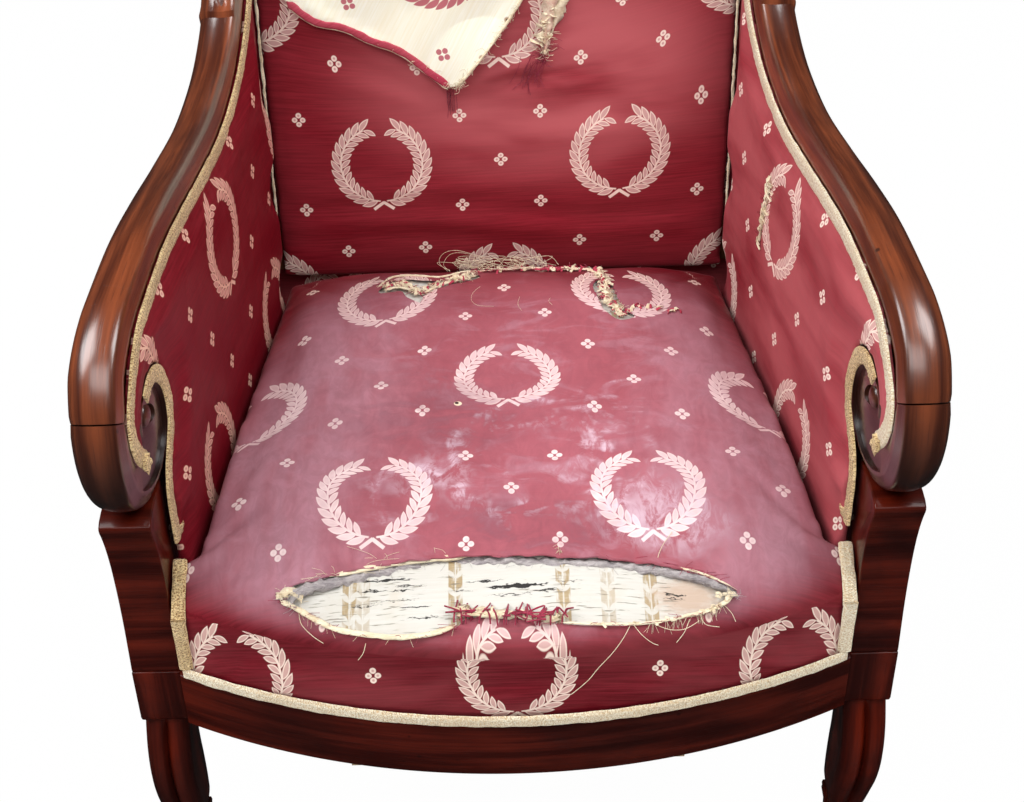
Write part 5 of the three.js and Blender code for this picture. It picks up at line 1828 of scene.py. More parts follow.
def dressFrontTear():
    back, front = frontTear["backLip"], frontTear["frontLip"]
    fold = between(back, -150, -20)
    rolledEdge(
        "tear_back_fold", shifted(fold, y=-2.6, z=3.0), lambda t: (3.4, 1.6), rawSilk, 0.35, taper=0.12
    )
    rolledEdge(
        "tear_back_edge", shifted(between(back, -60, 170), y=-0.4, z=2.6), lambda t: (1.1, 0.8), rawSilk,
        0.6,
    )
    rolledEdge(
        "tear_front_fold", shifted(between(front, -176, -40), y=1.2, z=1.9), lambda t: (2.6, 1.2), rawSilk,
        0.45, taper=0.04,
    )
    rolledEdge("tear_right_fold", shifted(between(front, 28, 166), y=0.8, z=1.7),
               lambda t: (lerp(1.3, 2.2, ease((t - 0.6) / 0.3)), 0.8), rawSilk, 0.7)
    rolledEdge(
        "tear_tip_fold",
        [(-178, -12, 91.5), (-172, -10, 92.8), (-166, -9, 93.6), (-160, -14, 92.5), (-158, -20, 91)],
        lambda t: (5.5 * (1 - 0.4 * t), 1.8), rawSilk, 0.7, taper=0.3,
    )
    roll = [
        (-166, -24, 88.5), (-165, -15, 91.5), (-158, -9, 93), (-138, -3.5, 94), (-112, 3.0, 95.2),
        (-86, 10.5, 94.8), (-66, 16, 94.2), (-46, 18, 94), (-33, 15.5, 95.3), (1, 11.6, 97.6),
        (35, 8.2, 98.3), (65, 6.0, 97.2), (95, 2.8, 95.4), (117, -2.0, 94.4), (139, -8.6, 93.4),
        (155, -16, 91.2), (164, -20.5, 88.5),
    ]
    rolledEdge(
        "wadding_roll", roll,
        lambda t: (lerp(4.8, 4.4, ease(t * 4)) * (1 - 0.3 * ease((t - 0.75) / 0.25)), 3.4), greyWool, 0.75,
        nodes=("seat_wadding",), taper=0.05, step=1.2, sides=16,
    )
    threads(
        "wadding_fibres",
        [
            *fuzz(shifted(roll, z=1.5), 150, 2.0, 2.0, 3.0),
            *rags(shifted(roll, y=-2.5, z=1.5), 110, 15, 1.6),
        ],
        0.24, greyWool,
    )
    threads(
        "tear_fibres",
        [
            *fuzz(shifted(between(back, -160, -20), z=3), 26, 6.0, 2.0, 1.6),
            *fuzz(shifted(between(back, 20, 60), z=2.4), 26, 3, 3),
            *fringe(shifted(between(front, 90, 162), z=1.5), 34, 14, 2.2),
            *fuzz([(-178, -12, 92), (-165, -10, 94), (-158, -20, 91)], 18, 4, 2),
            *fringe(shifted(between(front, -165, -40), z=1.5), 9, 7, 2.0),
        ],
        0.28, creamThread,
    )
    threads(
        "tear_scraps",
        [
            *rags(shifted(between(front, 60, 162), z=2), 16, 7, 1.5),
            *rags([(150, -24, 90), (163, -21, 90)], 12, 8, 2),
            *rags([(-176, -12, 92), (-162, -14, 93)], 9, 9, 2),
        ],
        0.3, rawSilk, wide=1.8,
    )
    threads(
        "tear_red_edge",
        [
            *fuzz(shifted(between(back, -20, 165), z=3), 70, 2.2, 1.0, 2.5),
            *fuzz(shifted(between(front, -176, 160), z=2), 110, 2.4, 0.8, 2.5),
        ],
        0.35, crimsonThread,
    )
    # the long threads
    threads("tear_long_threads", [
        [(84, -47, 87), (78, -56, 82), (70, -60, 71), (60, -62, 58), (52, -63.5, 46), (40, -64.5, 33)],
        [(86, -47, 87), (92, -54, 83), (99, -56, 77), (104, -56, 74)],
        [(100, -45, 86), (112, -50, 84), (124, -48, 82), (135, -42, 84)],
        [(111, -1, 99), (108, 6, 101), (112, 18, 103), (121, 33, 104)],
        [(-130, 12, 99), (-139, 28, 100), (-146, 44, 101)],
        [(-122, 9, 99), (-112, 16, 101), (-98, 14, 101), (-90, 13, 100)],
        [(-160, -26, 87), (-158, -33, 82), (-150, -40, 77), (-142, -44, 73)],
        [(-110, -52, 80), (-112, -57, 75), (-116, -58, 69)],
        [(155, -29, 86), (160, -33, 82), (163, -36, 76)],
        [(136, -37, 85), (140, -42, 80), (150, -43, 78)],
        [(128, -40, 84), (124, -47, 78), (118, -50, 70)],
    ], 0.55, creamThread)
    # the place where the tear was once drawn together with crimson thread
    rolledEdge(
        "repair_seam",
        [(-46, -36, 91.5), (-36, -35, 93), (-20, -37, 93), (-4, -39, 92), (14, -41, 91.5), (34, -43, 90)],
        lambda t: (lerp(5.2, 3.4, t), 1.8), rawSilk, 1.2, taper=0.1,
    )
    stitches = []
    for i in range(19):
        x = lerp(-45, 33, i / 18) + about(0, 1.4)
        lean, up = about(1.5, 5.0), anywhere(2.4, 4.6)
        back, near = lerp(-26, -34, i / 18) + about(0, 2.0), lerp(-43, -48, i / 18) + about(0, 1.4)
        stitches.append([(x, near, 89.5), (x + lean * 0.2, lerp(near, back, 0.3), 92.5 + up * 0.5),
                         (x + lean * 0.8, lerp(near, back, 0.7), 93 + up * 0.4), (x + lean, back, 92.2)])
    for i in range(18):
        x = anywhere(-46, 38)
        y = lerp(-34, -42, (x + 46) / 84) + about(0, 3.0)
        stitches.append([(x, y, 94), (x + about(0, 5), y + about(0, 3), 96.5),
                         (x + about(0, 9), y + about(0, 4), 94.5)])
    threads("repair_stitches", stitches, 1.35, crimsonThread)
    threads("repair_fluff", rags([(-44, -34, 94), (34, -42, 92)], 26, 8, 2.4), 0.3, rawSilk, wide=1.6)


def dressRearTears():
    lip, rear = onSeat(rearLeftTear["frontLip"]), onSeat(rearLeftTear["backLip"])
    rolledEdge("rear_left_fold", shifted(lip[:2] + lip[4:], z=5.2), lambda t: (2.0, 1.0), rawSilk, 1.0)
    rolledEdge("rear_left_back_fold", shifted(rear, z=5.2), lambda t: (1.3, 0.9), rawSilk, 0.9)
    ridge = shifted(onSeat([(-30, 428), (-8, 431), (20, 434), (50, 435), (78, 432), (92, 425)]), z=4.8)
    rolledEdge("rear_ridge", ridge, lambda t: (1.3, 1.0), tuftedSilk, 1.1)
    leftLine = shifted(
        onSeat([(-112, 400), (-96, 404), (-86, 396), (-76, 384), (-66, 400), (-48, 412), (-30, 420)]), z=4.8
    )
    rightLine = shifted(onSeat([(88, 418), (93, 406), (94, 388), (92, 370), (97, 352), (104, 336)]), z=4.8)
    hook = shifted(onSeat([(104, 332), (112, 340), (122, 350), (136, 346), (150, 342), (160, 348)]), z=4.8)
    threads(
        "rear_rags",
        [
            *rags(leftLine, 54, 13, 3.2), *rags(rightLine, 60, 13, 3.4), *rags(hook, 16, 8, 2.4),
            *rags(ridge, 22, 9, 1.8),
        ],
        0.35, rawSilk, wide=2.6,
    )
    threads(
        "rear_red_rags",
        [
            *rags(leftLine, 26, 11, 3.0), *rags(rightLine, 26, 11, 3.0), *rags(hook, 12, 8, 2.2),
            *rags(ridge, 22, 12, 1.4),
        ],
        0.35, hemSheenSatin, wide=1.8,
    )
    tangle = []
    for _ in range(30):
        x, y = anywhere(-36, 40), anywhere(428, 438)
        z = 80
        tangle.append([(x, y, z), (x + about(-4, 8), y + 3, z + anywhere(2, 8)),
                       (x + about(-8, 12), y + 2, z + anywhere(1, 8)), (x + about(0, 14), y - 5, z + 2)])
    tangle.append(
        [(-52, 424, 82), (-60, 430, 88), (-56, 436, 94), (-44, 438, 96), (-26, 437, 91), (-12, 436, 86)]
    )
    tangle.append([(-50, 424, 82), (-56, 430, 86), (-50, 437, 92), (-38, 438, 93), (-20, 437, 88)])
    tangle += fuzz(shifted(lip[4:], z=5), 40, 4.5, 2.5) + fuzz(rightLine, 80, 5, 3) + fuzz(leftLine, 60, 5, 3)
    threads("rear_threads", tangle, 0.36, creamThread)
    red = fuzz(leftLine, 70, 5, 1.5) + fuzz(rightLine, 70, 5, 1.5) + fuzz(ridge, 70, 3, 1.2, 2.5)
    threads("rear_red_threads", red, 0.5, crimsonThread)
    threads("seat_stray_threads", [
        shifted(onSeat([(-22, 398), (-29, 385), (-30, 370), (-24, 360), (-10, 357)]), z=4.4),
        shifted(onSeat([(14, 372), (12, 358), (15, 346)]), z=4.4),
        shifted(onSeat([(42, 366), (40, 359), (43, 352)]), z=4.4),
    ], 0.26, creamThread)


dressFrontTear()
dressRearTears()
print("tears dressed")

backPad = {
    "bottom": 52,
    "top": 559,
    "halfLow": 209,
    "halfHigh": 215,
    "front": 451,
    "thick": 22,
    "voxel": 0.005,
    "pressure": 5.0,
    "cap": 0.006,
}


def makeBackPad():
    def spot(u, v):
        z = lerp(backPad["bottom"], backPad["top"], v)
        half = lerp(backPad["halfLow"], backPad["halfHigh"], v)
        x = (2 * u - 1) * half
        edge = np.maximum(np.abs(2 * u - 1) ** 8, np.abs(2 * v - 1) ** 10)
        y = backPad["front"] + chair["lean"] * z + 7 * edge
        return x, y, z

    piece = gridPiece("back_pad_satin", 40, 48, spot)
    applyModifier(piece, "SOLIDIFY", thickness=(backPad["thick"] - 4) / 1000, offset=0)
    pick(piece)
    bpy.ops.object.mode_set(mode="EDIT")
    bpy.ops.mesh.select_all(action="SELECT")
    bpy.ops.mesh.normals_make_consistent(inside=False)
    bpy.ops.object.mode_set(mode="OBJECT")
    return piece


# folds of the back cover: middle (x, z), slope, half length, half breadth, height
backFolds = [
    (-150, 318, -0.55, 60, 9, 3.2), (-120, 285, -0.5, 70, 8, 1.6), (10, 268, 0.35, 42, 7, 2.6),
    (24, 256, 0.2, 34, 6, -1.6),
    (60, 250, 0.15, 40, 7, 1.4), (-120, 250, -0.25, 90, 10, 1.2), (100, 205, 0.1, 90, 12, 1.0),
    (-60, 150, 0.05, 130, 9, 1.2),
]


def backSpread(x, y, z):
    # above the middle the cloth is drawn upwards at both sides
    drawnUp = np.where(x > 0, 30, 21) * np.clip(np.abs(x) / 195, 0, 1) ** 2 * ease((z - 215) / 90)
    return x * 0.973 + 107 + 0 * y, (z - 179 - 0.033 * x - drawnUp) * 1.02


def finishBackPad():
    pad = makeBackPad()
    coordinates = coordinatesOf(pad)
    coordinates[:, 1] += 0.010
    setCoordinates(pad, coordinates)
    puff(
        pad, backPad,
        lambda x, y, z: (np.abs(x) > 198) | (z < 60) | (z > 548) | (y > 465 + chair["lean"] * z),
    )
    applyModifier(pad, "SUBSURF", levels=1, render_levels=1)
    # folds in the cloth: slack above the seat, and pulled towards the tear
    coordinates = coordinatesOf(pad)
    x, y, z = drawn(coordinates)
    face = y < backPad["front"] + chair["lean"] * z + 6
    slack = (
        1.5 * np.sin(z / 7.5 + np.sin(x / 60) * 1.4) * np.exp(-((z - 112) / 22) ** 2)
        * np.exp(-(x / 190) ** 6)
    )
    for atX, atZ, slope, long, broad, high in backFolds:
        along = (x - atX) * math.cos(slope) + (z - atZ) * math.sin(slope)
        across = -(x - atX) * math.sin(slope) + (z - atZ) * math.cos(slope)
        slack += high * np.exp(-(along / long) ** 2 - (across / broad) ** 2)
    coordinates[:, 1] -= face * slack / 1000
    setCoordinates(pad, coordinates)
    mapCloth(pad, backSpread)
    smoothShade(pad, 180)
    putMaterial(pad, backCloth)
    rideAs(pad, "crimson_satin", "back_pad")
    return pad


backSatin = finishBackPad()
print("back stuffed")

# The corner of the back cover that has come away hangs down over the back, its cream side outwards
flap = {
    "left": [
        (-44, 258), (-66, 275), (-87, 291), (-112, 301), (-134, 312), (-161, 318), (-184, 335), (-199, 352),
        (-200, 420), (-200, 556),
    ],
    "right": [(-39, 259), (-33, 264), (-16, 284), (3, 308), (18, 330), (58, 395), (104, 470), (155, 556)],
    "flat": (0.36, 0.31),
    "stand": 3.2,
    "tip": 9.0,
    "turn": -60.4,
    "pinned": (-49, 287, -71.3, -46.7),
}


def onBack(x, z):
    # how far back the stuffed back stands at a point, found by looking at it from the front
    start = place(x, 300, z)
    hit, found, _, _ = backSatin.ray_cast(start, Vector((0, 1, 0)))
    return (found.y - postFront) * 1000 if hit else backPad["front"] + chair["lean"] * z


def backTable():
    xs, zs = np.linspace(-212, 212, 54), np.linspace(240, 556, 40)
    return xs, zs, np.array([[onBack(x, z) for x in xs] for z in zs])


backGrid = backTable()


def backFace(x, z):
    xs, zs, table = backGrid
    column = np.clip((np.asarray(x) - xs[0]) / (xs[1] - xs[0]), 0, len(xs) - 1.001)
    row = np.clip((np.asarray(z) - zs[0]) / (zs[1] - zs[0]), 0, len(zs) - 1.001)
    i, j = row.astype(int), column.astype(int)
    a, b = row - i, column - j
    return (table[i, j] * (1 - a) * (1 - b) + table[i + 1, j] * a * (1 - b)
            + table[i, j + 1] * (1 - a) * b + table[i + 1, j + 1] * a * b)


def flapDepth(x, z):
    # the free corner stands forward, and soft folds run down from where the cloth still holds
    low = ease((352 - z) / 100)
    fold = (
        2.0 * np.sin((x * 0.5 + z * 0.86) / 21) * np.sin((x - z * 0.4) / 60)
        + 0.8 * np.sin((x - z) / 17 + 1.0)
    )
    curl = 3.0 * np.exp(-((x - (z - 300) * 0.60) / 14) ** 2) * ease((430 - z) / 60)
    return (
        backFace(x, z) - flap["stand"] - flap["tip"] * low
        - np.abs(fold) * (0.35 + 0.65 * ease((556 - z) / 60)) - curl
    )


def flapLine(points, off=0.0):
    return [(x, float(flapDepth(x, z)) - off, z) for x, z in points]


def makeFlap():
    left, right = np.array(denseCurve(flap["left"], 160)), np.array(denseCurve(flap["right"], 160))

    def spot(u, v):
        row = np.clip(v, 0, 1) * 159
        lx, lz = np.interp(row, range(160), left[:, 0]), np.interp(row, range(160), left[:, 1])
        rx, rz = np.interp(row, range(160), right[:, 0]), np.interp(row, range(160), right[:, 1])
        x, z = lerp(lx, rx, u), lerp(lz, rz, u)
        fray = 0.9 * np.sin(row * 1.7) * (np.abs(2 * u - 1) > 0.97)
        return x + fray, flapDepth(x, z), z

    piece = gridPiece("back_flap_cloth", 96, 120, spot)
    face = piece.data.polygons[len(piece.data.polygons) // 2]
    if face.normal.y > 0:
        piece.data.flip_normals()
    c, d = math.cos(math.radians(flap["turn"])), math.sin(math.radians(flap["turn"]))
    px, pz, du, dv = flap["pinned"]
    mapCloth(piece, lambda x, y, z: ((x - px) * c - (z - pz) * d + du, (x - px) * d + (z - pz) * c + dv))
    applyModifier(piece, "SOLIDIFY", thickness=0.0008, offset=-1, material_offset=1)
    smoothShade(piece, 60)
    putMaterial(piece, reverse, satin)
    rideAs(piece, "crimson_satin", "back_flap")
    edge = [point for point in flap["left"] if point[1] < 352]
    hem = rolledEdge(
        "flap_hem", flapLine(edge[::-1], 0.6), lambda t: (3.5, 0.8), hemSheenSatin, 0.3, taper=0.03,
        off=(0, -1, 0),
    )
    mapCloth(hem, lambda x, y, z: (x * 0.8 + z * 0.5 + 20, z * 0.8 - x * 0.5))
    rolledEdge(
        "flap_selvedge", [(x - 1.6, y + 0.6, z - 3.0) for x, y, z in flapLine(edge[::-1], 0.6)],
        lambda t: (0.9, 0.6), rawSilk, 0.5, taper=0.03, off=(0, -1, 0),
    )
    right = flapLine(flap["right"][:-1], 0.8)
    rolledEdge("flap_right_edge", right, lambda t: (1.2, 0.7), rawSilk, 0.9, taper=0.03, off=(0, -1, 0))
    tip = flapLine([(-46, 262), (-41, 258), (-34, 263), (-28, 271)], 1.6)
    threads(
        "flap_threads",
        [
            *fuzz(right[:5], 60, 3.4, 1.6, off="back"), *fuzz(tip, 26, 4.0, 2.0, off="back"),
            *fuzz(flapLine(edge[:4], 0.5), 12, 5.0, 1.5, off="back"),
            [(58, 440, 395), (66, 437, 392), (72, 438, 384)],
            [(30, 440, 352), (38, 437, 350), (44, 438, 342)],
        ],
        0.32, creamThread,
    )
    hanging = []
    for _ in range(16):
        x = -44 + anywhere(-4, 5)
        dx, drop = about(0, 3.0), anywhere(14, 44)
        y = float(backFace(x, 250)) - 3
        hanging.append(
            [(x, y - 4, 260), (x + dx * 0.3, y - 1.5, 260 - drop * 0.4), (x + dx, y + 1.0, 260 - drop)]
        )
    threads("flap_red_threads", hanging, 0.4, crimsonThread)


def dressBack():
    # what is left of the torn cover beside the flap, and its frayed foot
    def ridge(points, off):
        return [(x, float(backFace(x, z)) - off, z) for x, z in points]

    foot = ridge(
        [
            (40, 277), (41, 286), (42, 297), (44, 312), (47, 330), (54, 352), (66, 380), (80, 410),
            (98, 445), (118, 480), (150, 540),
        ],
        1.8,
    )
    rolledEdge(
        "torn_back_edge", foot, lambda t: (lerp(2.6, 5.6, ease(t * 6)), 2.6), tuftedSilk, 1.2, taper=0.05,
        off=(0, -1, 0),
    )
    rolledEdge("torn_back_lining", ridge([(47, 300), (53, 318), (58, 336), (66, 356), (84, 392)], 2.0),
               lambda t: (5.2, 1.6), rawSilk, 1.3, taper=0.25, off=(0, -1, 0))
    threads(
        "torn_back_rags",
        [
            [(x, y, z), (x + a, y - 3, z + b), (x + a * 1.8, y - 1, z + b * 1.6)]
            for x, y, z, a, b in (
                (*anyOf(denseCurve(foot[1:8], 60), 59), about(0, 4), about(0, 6)) for _ in range(44)
            )
        ],
        0.35, rawSilk, wide=2.4,
    )
    hairs = (
        fuzz(foot[:8], 120, 6.0, 2.4, off="back")
        + fuzz(ridge([(26, 345), (34, 352), (44, 350), (52, 344)], 2.5), 36, 5.5, 2.6, off="back")
    )
    threads("torn_back_threads", hairs, 0.35, creamThread)
    red = fuzz(foot[:3], 70, 6.0, 2.2, off="back")
    for _ in range(18):
        x, z = 34 + about(0, 5), 276 + about(0, 5)
        red.append(ridge([(x, z), (x - 3 + about(0, 2), z - 12), (x - 8 + about(0, 4), z - 26)], 1.0))
    threads("torn_back_red_threads", red, 0.4, crimsonThread)
    for side, name, low in ((1, "back_cord_right", 92), (-1, "back_cord_left", 120)):
        edge = [(side * 211, 448.5 + chair["lean"] * z, z) for z in range(low, 556, 12)]
        rolledEdge(
            name, edge, lambda t: (1.1, 0.9), rawSilk, 1.2, slot="gold_braid", taper=0.02, off=(0, -1, 0)
        )


makeFlap()
dressBack()
print("flap hung")

# the padded side inside each arm, let into the arm's rebate and notched round the scroll's eye
sidePad = {
    "reveal": 19,
    "start": 0.225,
    "clear": 2.2,
    "eyeFoot": 312,
    "proud": 1.0,
    "swell": 6.0,
    "voxel": 0.0035,
}


def armEdge(inset, start, end, steps=40):
    # a line inside the arm and round the roll, a given depth below the crown
    points = []
    for i in range(steps):
        y, z, inY, inZ, _ = crownStation(lerp(start, 1, i / steps))
        points.append((y + inY * inset, z + inZ * inset))
    roll = max(int((end - 90) / 6), 1)
    for i in range(roll + 1):
        degrees = lerp(90, end, i / roll)
        past = ease((degrees - 90) / (arm["joint"] - 90))
        onArmLine = voluteRadius(degrees) - inset
        onScroll = bandInside(degrees) - (inset - arm["reveal"])
        radius = onArmLine if inset > arm["depth"] else min(onArmLine, lerp(onArmLine, onScroll, past))
        points.append(volutePoint(degrees, radius))
    return points


def volutePoint(degrees, radius):
    a = math.radians(degrees)
    return arm["voluteY"] + radius * math.cos(a), arm["voluteZ"] + radius * math.sin(a)


def eyeEdge(start, end, clear, steps=24):
    points = []
    for i in range(steps + 1):
        degrees = lerp(start, end, i / steps)
        points.append(volutePoint(degrees, voluteRadius(min(degrees, arm["eyeEnd"])) + clear))
    return points


def consoleBack(clear, foot):
    return [(48 + clear, 156), (45.5 + clear, 100), (44 + clear, foot)]


def rightSpread(x, y, z):
    return -0.876 * (y - 264) - 0.22 * (z - 231), 0.089 * (y - 264) + 0.847 * (z - 231)


def leftSpread(x, y, z):
    return 0.928 * (y - 253) + 0.133 * (z - 236), 0.058 * (y - 253) + 0.866 * (z - 236)


def makeSidePad():
    edge = armEdge(sidePad["reveal"], sidePad["start"], arm["tongueEnd"] - 7)
    outline = [
        (stileFront(0.3) - 2, 0.3), *edge,
        *eyeEdge(360 + arm["tongueEnd"] - 12, sidePad["eyeFoot"], sidePad["clear"]),
        *consoleBack(sidePad["clear"], 0.3),
    ]

    def stand(y, z, out):
        return chair["postInner"] - sidePad["proud"] - chair["splay"] * y - out, y, z

    pad = outlinePiece("arm_panel_right_satin", outline, [-3.6, 1.2], stand)
    applyModifier(pad, "REMESH", mode="VOXEL", voxel_size=sidePad["voxel"])
    return pad


def sideSwell(piece):
    # the stuffing stands off most in the middle and dies away at the braid
    coordinates = coordinatesOf(piece)
    x, y, z = drawn(coordinates)
    edge = np.array(armEdge(sidePad["reveal"], sidePad["start"], arm["tongueEnd"] - 7)
                    + eyeEdge(360 + arm["tongueEnd"] - 12, sidePad["eyeFoot"], sidePad["clear"])
                    + consoleBack(sidePad["clear"], 0.3) + [(445, 0.3), (446, 60), (452, 160), (460, 260)])
    edge = np.vstack([edge, np.array(denseCurve([tuple(edge[-1]), tuple(edge[0])], 12))])
    nearest = np.full(len(x), 1e9)
    for ey, ez in edge:
        nearest = np.minimum(nearest, np.hypot(y - ey, z - ez))
    inward = np.abs(x) < chair["postInner"] - sidePad["proud"] - chair["splay"] * y + 0.2
    swell = sidePad["swell"] * ease((nearest - 9) / 26) * inward
    coordinates[:, 0] -= np.sign(coordinates[:, 0]) * swell / 1000
    setCoordinates(piece, coordinates)


def finishSidePads():
    right = makeSidePad()
    sideSwell(right)
    applyModifier(right, "SMOOTH", factor=0.5, iterations=3)
    mapCloth(right, rightSpread)
    smoothShade(right, 180)
    putMaterial(right, rightFadedLitSatin)
    left = twin(right, "arm_panel_left_satin")
    mapCloth(left, leftSpread)
    putMaterial(left, leftUnfadedShadedSatin)
    rideAs(right, "crimson_satin", "arm_panel_right")
    rideAs(left, "crimson_satin", "arm_panel_left")


finishSidePads()


# the cloth that closes the outside of the back and of both arms, tacked down all round
outside = {"backHalf": 221.4, "backTop": 562, "backFace": 485.3, "armOut": 30, "voxel": 0.003, "swell": 2.2}


def backCoverSpread(x, y, z):
    return 60 - x * 0.98, z * 1.01 + 0.02 * x


def armCoverSpread(x, y, z):
    return y * 0.97 + 40, z - 0.05 * y


def makeBackCover():
    def spot(u, v):
        x, z = (1 - 2 * u) * outside["backHalf"], lerp(0.8, outside["backTop"], v)
        rim = 1 - np.maximum(np.abs(2 * u - 1) ** 6, np.abs(2 * v - 1) ** 8)
        slack = np.sin(z / 31 + x / 90) * np.sin(x / 70 - z / 150) * 0.6
        return x, outside["backFace"] + chair["lean"] * z + rim * (outside["swell"] + slack), z

    cover = gridPiece("outside_back_satin", 66, 84, spot)
    applyModifier(cover, "SOLIDIFY", thickness=0.0018, offset=-1)
    mapCloth(cover, backCoverSpread)
    return cover


def makeArmCover():
    outline = [
        (stileFront(0.3) - 2, 0.3), *armEdge(arm["depth"] + 1, 0.32, arm["joint"] - 3),
        *eyeEdge(360 + arm["joint"] - 3, sidePad["eyeFoot"], sidePad["clear"]),
        *consoleBack(sidePad["clear"], 0.3),
    ]
    face = chair["postInner"] + outside["armOut"]
    cover = outlinePiece(
        "outside_arm_right_satin", outline, [-4.6, 2.4],
        lambda y, z, d: (face - chair["splay"] * y + d, y, z),
    )
    applyModifier(cover, "REMESH", mode="VOXEL", voxel_size=outside["voxel"])
    coordinates = coordinatesOf(cover)
    x, y, z = drawn(coordinates)
    rim = np.array(outline + [outline[0]])
    rim = np.vstack([lerp(rim[:-1], rim[1:], t) for t in (0, 0.25, 0.5, 0.75)])
    nearest = np.min(np.hypot(y[:, None] - rim[:, 0], z[:, None] - rim[:, 1]), axis=1)
    slack = outside["swell"] + 0.7 * np.sin(y / 34 + z / 80) * np.sin(z / 44 - y / 120)
    coordinates[:, 0] += ease(nearest / 60) * (x > face - chair["splay"] * y) * slack / 1000
    setCoordinates(cover, coordinates)
    applyModifier(cover, "SMOOTH", factor=0.5, iterations=3)
    mapCloth(cover, armCoverSpread)
    return cover


def closeOutside():
    right = makeArmCover()
    covers = {
        "outside_back_cover": makeBackCover(),
        "outside_arm_cover_right": right,
        "outside_arm_cover_left": twin(right, "outside_arm_left_satin"),
    }
    for node, cover in covers.items():
        smoothShade(cover, 60)
        putMaterial(cover, outsideSatin)
        rideAs(cover, "crimson_satin", node)


closeOutside()


def onSide(y, z, off=0.0):
    # a point on the right side pad, looked at from inside the chair
    side = bpy.data.objects["arm_panel_right_satin"]
    hit, found, _, _ = side.ray_cast(place(0, y, z), Vector((1, 0, 0)))
    x = found.x * 1000 if hit else chair["postInner"] - chair["splay"] * y
    return x - off, y, z


def dressSideSlit():
    line = [(301, 247), (303, 234), (308, 222), (311, 208), (316, 192), (319, 173)]
    edge = [onSide(y, z, 0.8) for y, z in line]
    rolledEdge("side_slit_edge", edge, lambda t: (1.9, 0.9), rawSilk, 1.2, taper=0.12, off=(-1, 0, 0))
    rags = []
    for _ in range(40):
        y, z = anyOf(denseCurve(line, 60), 59)
        dy, dz = about(0, 3.2), about(0, 4.0)
        rags.append(
            [onSide(y - dy, z - dz, 0.6), onSide(y, z, anywhere(1.5, 3.4)), onSide(y + dy, z + dz, 1.2)]
        )
    threads("side_slit_rags", rags, 0.3, rawSilk, wide=1.5)
    pulled = []
    for i in range(26):
        y, z = lerp(303, 320, i / 25), lerp(242, 176, i / 25)
        away, drop = anywhere(10, 26), anywhere(2, 14)
        pulled.append(
            [
                onSide(y, z, 0.9), onSide(y + away * 0.5, z - drop * 0.5, 0.9),
                onSide(y + away, z - drop, 0.2),
            ]
        )
    threads("side_slit_pulls", pulled, 0.7, rightFadedLitSatin)


dressSideSlit()
print("sides stuffed")

# Braid, glued over the tacked edges

braidStrip = {"width": 11, "thick": 2.4, "step": 2.5}


def braidPiece(name, line, side, lift, material, width=None):
    # line, side and lift are rows of drawing points and directions: along the middle, across, and off the
    # cloth
    plain = width or braidStrip["width"]
    rings = []
    for i in range(len(line)):
        wobble = 0.5 * noise.noise(Vector((i * 0.21, len(line) * 0.1, 3.0)))
        swelling = noise.noise(Vector((i * 0.16, 5.0, len(line) * 0.13)))
        width = plain * (1 + 0.10 * swelling)
        thick = braidStrip["thick"] * (1 + 0.25 * swelling)
        ring = []
        profile = [
            (-0.5, 0.05), (-0.46, 0.6), (-0.34, 0.9), (-0.16, 0.98), (0, 1.0), (0.16, 0.98), (0.34, 0.9),
            (0.46, 0.6), (0.5, 0.05), (0, 0.0),
        ]
        for k, (a, b) in enumerate(profile):
            if 0 < k < 8:
                b *= 1 + 0.28 * noise.noise(Vector((i * 0.9, k * 0.8, len(line) * 0.3)))
            ring.append(
                tuple(
                    np.array(line[i]) + np.array(side[i]) * (a * width + wobble)
                    + np.array(lift[i]) * b * thick
                )
            )
        rings.append(ring)
    piece = sweep(name, rings)
    layer = piece.data.uv_layers["grain"]
    layer.name = "cloth"
    marks = [mark.value for mark in piece.data.attributes["station"].data]
    along = [0.0]
    for a, b in zip(line, line[1:]):
        along.append(along[-1] + math.dist(a, b))
    for polygon in piece.data.polygons:
        for loop, vertex in zip(polygon.loop_indices, polygon.vertices):
            k = marks[vertex] % 1000
            layer.data[loop].uv = (profile[k][0] * plain, along[marks[vertex] // 1000])
    smoothShade(piece, 70)
    putMaterial(piece, material)
    return piece


def panelBraid(name, points, material, width=None):
    # along a line in the side view, flat on the margin of the side pad
    width = width or braidStrip["width"]
    line = evenCurve(points, braidStrip["step"])
    for _ in range(6):
        line[1:-1] = (line[:-2] + 2 * line[1:-1] + line[2:]) / 4
    tangent = np.gradient(line, axis=0)
    tangent /= np.linalg.norm(tangent, axis=1, keepdims=True)
    middle, side, lift = [], [], []
    for (y, z), (ty, tz) in zip(line, tangent):
        y1, z1 = y - tz * width / 2, z + ty * width / 2
        base = chair["postInner"] - sidePad["proud"] - chair["splay"] * y1 - 0.4
        middle.append((base, y1, z1))
        side.append((chair["splay"] * tz, -tz, ty))
        lift.append((-1, 0, 0))
    return braidPiece(name, middle, side, lift, material, width)


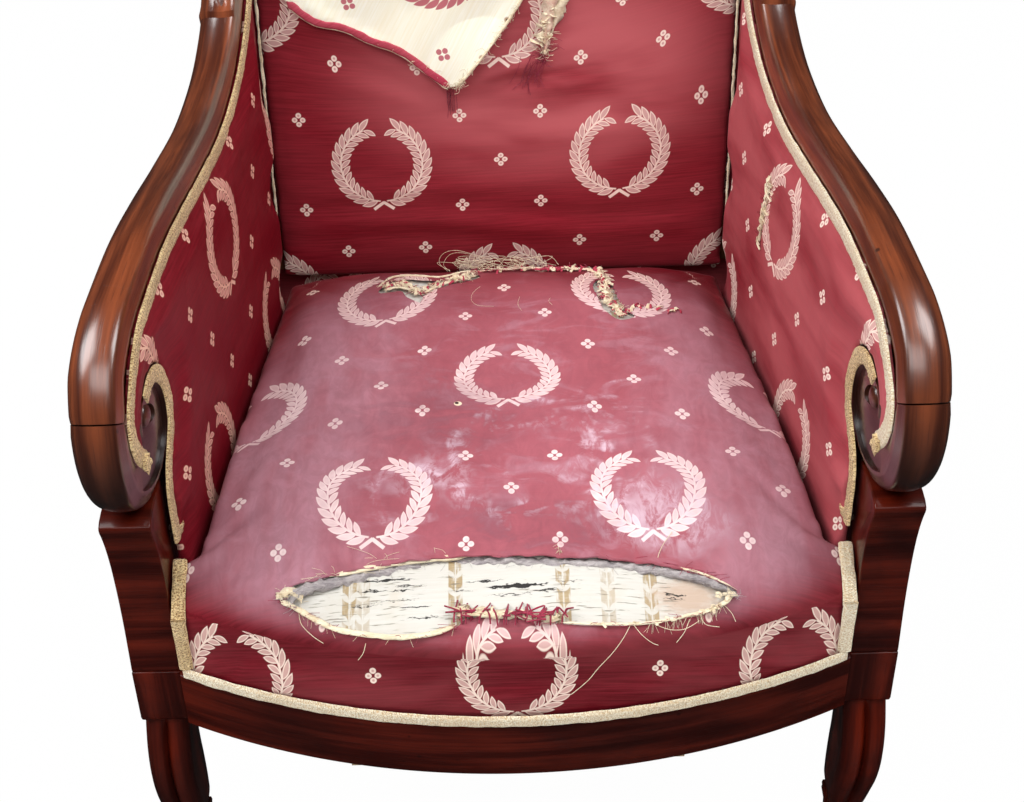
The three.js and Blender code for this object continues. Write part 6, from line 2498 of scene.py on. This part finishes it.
def makeBraids():
    xs = np.linspace(-258, 258, 200)
    front = braidPiece(
        "front_braid_gimp",
        [(x, bowFront(x) + 0.4, 5.6) for x in xs],
        [(0, 0, 1)] * len(xs),
        [(0, -1, 0)] * len(xs),
        creamBraid,
    )
    rideAs(front, "gold_braid", "front_braid")
    pairs = {
        "arm_braid": panelBraid(
            "arm_braid_right_gimp", armEdge(16.8, 0.245, arm["tongueEnd"] - 9), creamBraid, 14
        ),
        "volute_braid": panelBraid(
            "volute_braid_right_gimp",
            [*reversed(consoleBack(2.2, 104)), *eyeEdge(sidePad["eyeFoot"], 480, 2.2)], goldBraid, 13,
        ),
    }
    # up the seat's front corner beside the console, then back over its edge
    line, side, lift = [], [], []
    x = chair["postInner"] - 1.6 - braidStrip["width"] / 2
    for height in np.linspace(11.5, seat["edge"] - 3, 22):
        line.append((x, bowFront(x) + 0.6, float(height)))
        side.append((-1, 0, 0))
        lift.append((0, -1, 0))
    for roll in np.linspace(0.0, 1.0, 24)[1:]:
        y = bowFront(x) + 1 + 0.9 * roll * seat["roll"]
        z = float(seatHeight(np.array([x]), np.array([y]))[0])
        lean = (1 - roll) ** 2
        line.append((x, y - 0.4 * lean, z + 0.6 * (1 - lean)))
        side.append((-1, 0, 0))
        lift.append((0, -lean, 1 - lean))
    pairs["corner_braid"] = braidPiece("corner_braid_right_gimp", line, side, lift, creamBraid)
    # the end of the outer braid is turned under into a lump
    foot = [
        volutePoint(degrees, bandInside(degrees) - 5)
        for degrees in (arm["tongueEnd"] - 4, arm["tongueEnd"] - 14, arm["tongueEnd"] - 24)
    ]
    lump = rolledEdge(
        "braid_end_right",
        [(chair["postInner"] - sidePad["proud"] - chair["splay"] * y - 3.2, y, z) for y, z in foot],
        lambda t: (6.4, 3.2), goldBraid, 0.9, taper=0.35, step=1.0, sides=16, off=(-1, 0, 0),
    )
    mapCloth(lump, lambda x, y, z: (y, z))
    rideAs(twin(lump, "braid_end_left"), "gold_braid")
    for node, right in pairs.items():
        left = twin(right, f"{node}_left_gimp")
        putMaterial(left, goldBraid)
        rideAs(right, "gold_braid", f"{node}_right")
        rideAs(left, "gold_braid", f"{node}_left")


makeBraids()
print("braid laid")

# Solids that keep their shape and get their finish

carried = {
    "side_rail": sideRailWood,
    "back_rail": beech,
    "front_corner_block": beech,
    "back_corner_block": beech,
    "back_lower_rail": beech,
    "web_": jute,
    "seat_hessian": jute,
    "spring_": springSteel,
}
for name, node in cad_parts.items():
    for key, material in carried.items():
        if name.startswith(key):
            putMaterial(node if hasattr(node, "data") else bpy.data.objects[name], material)
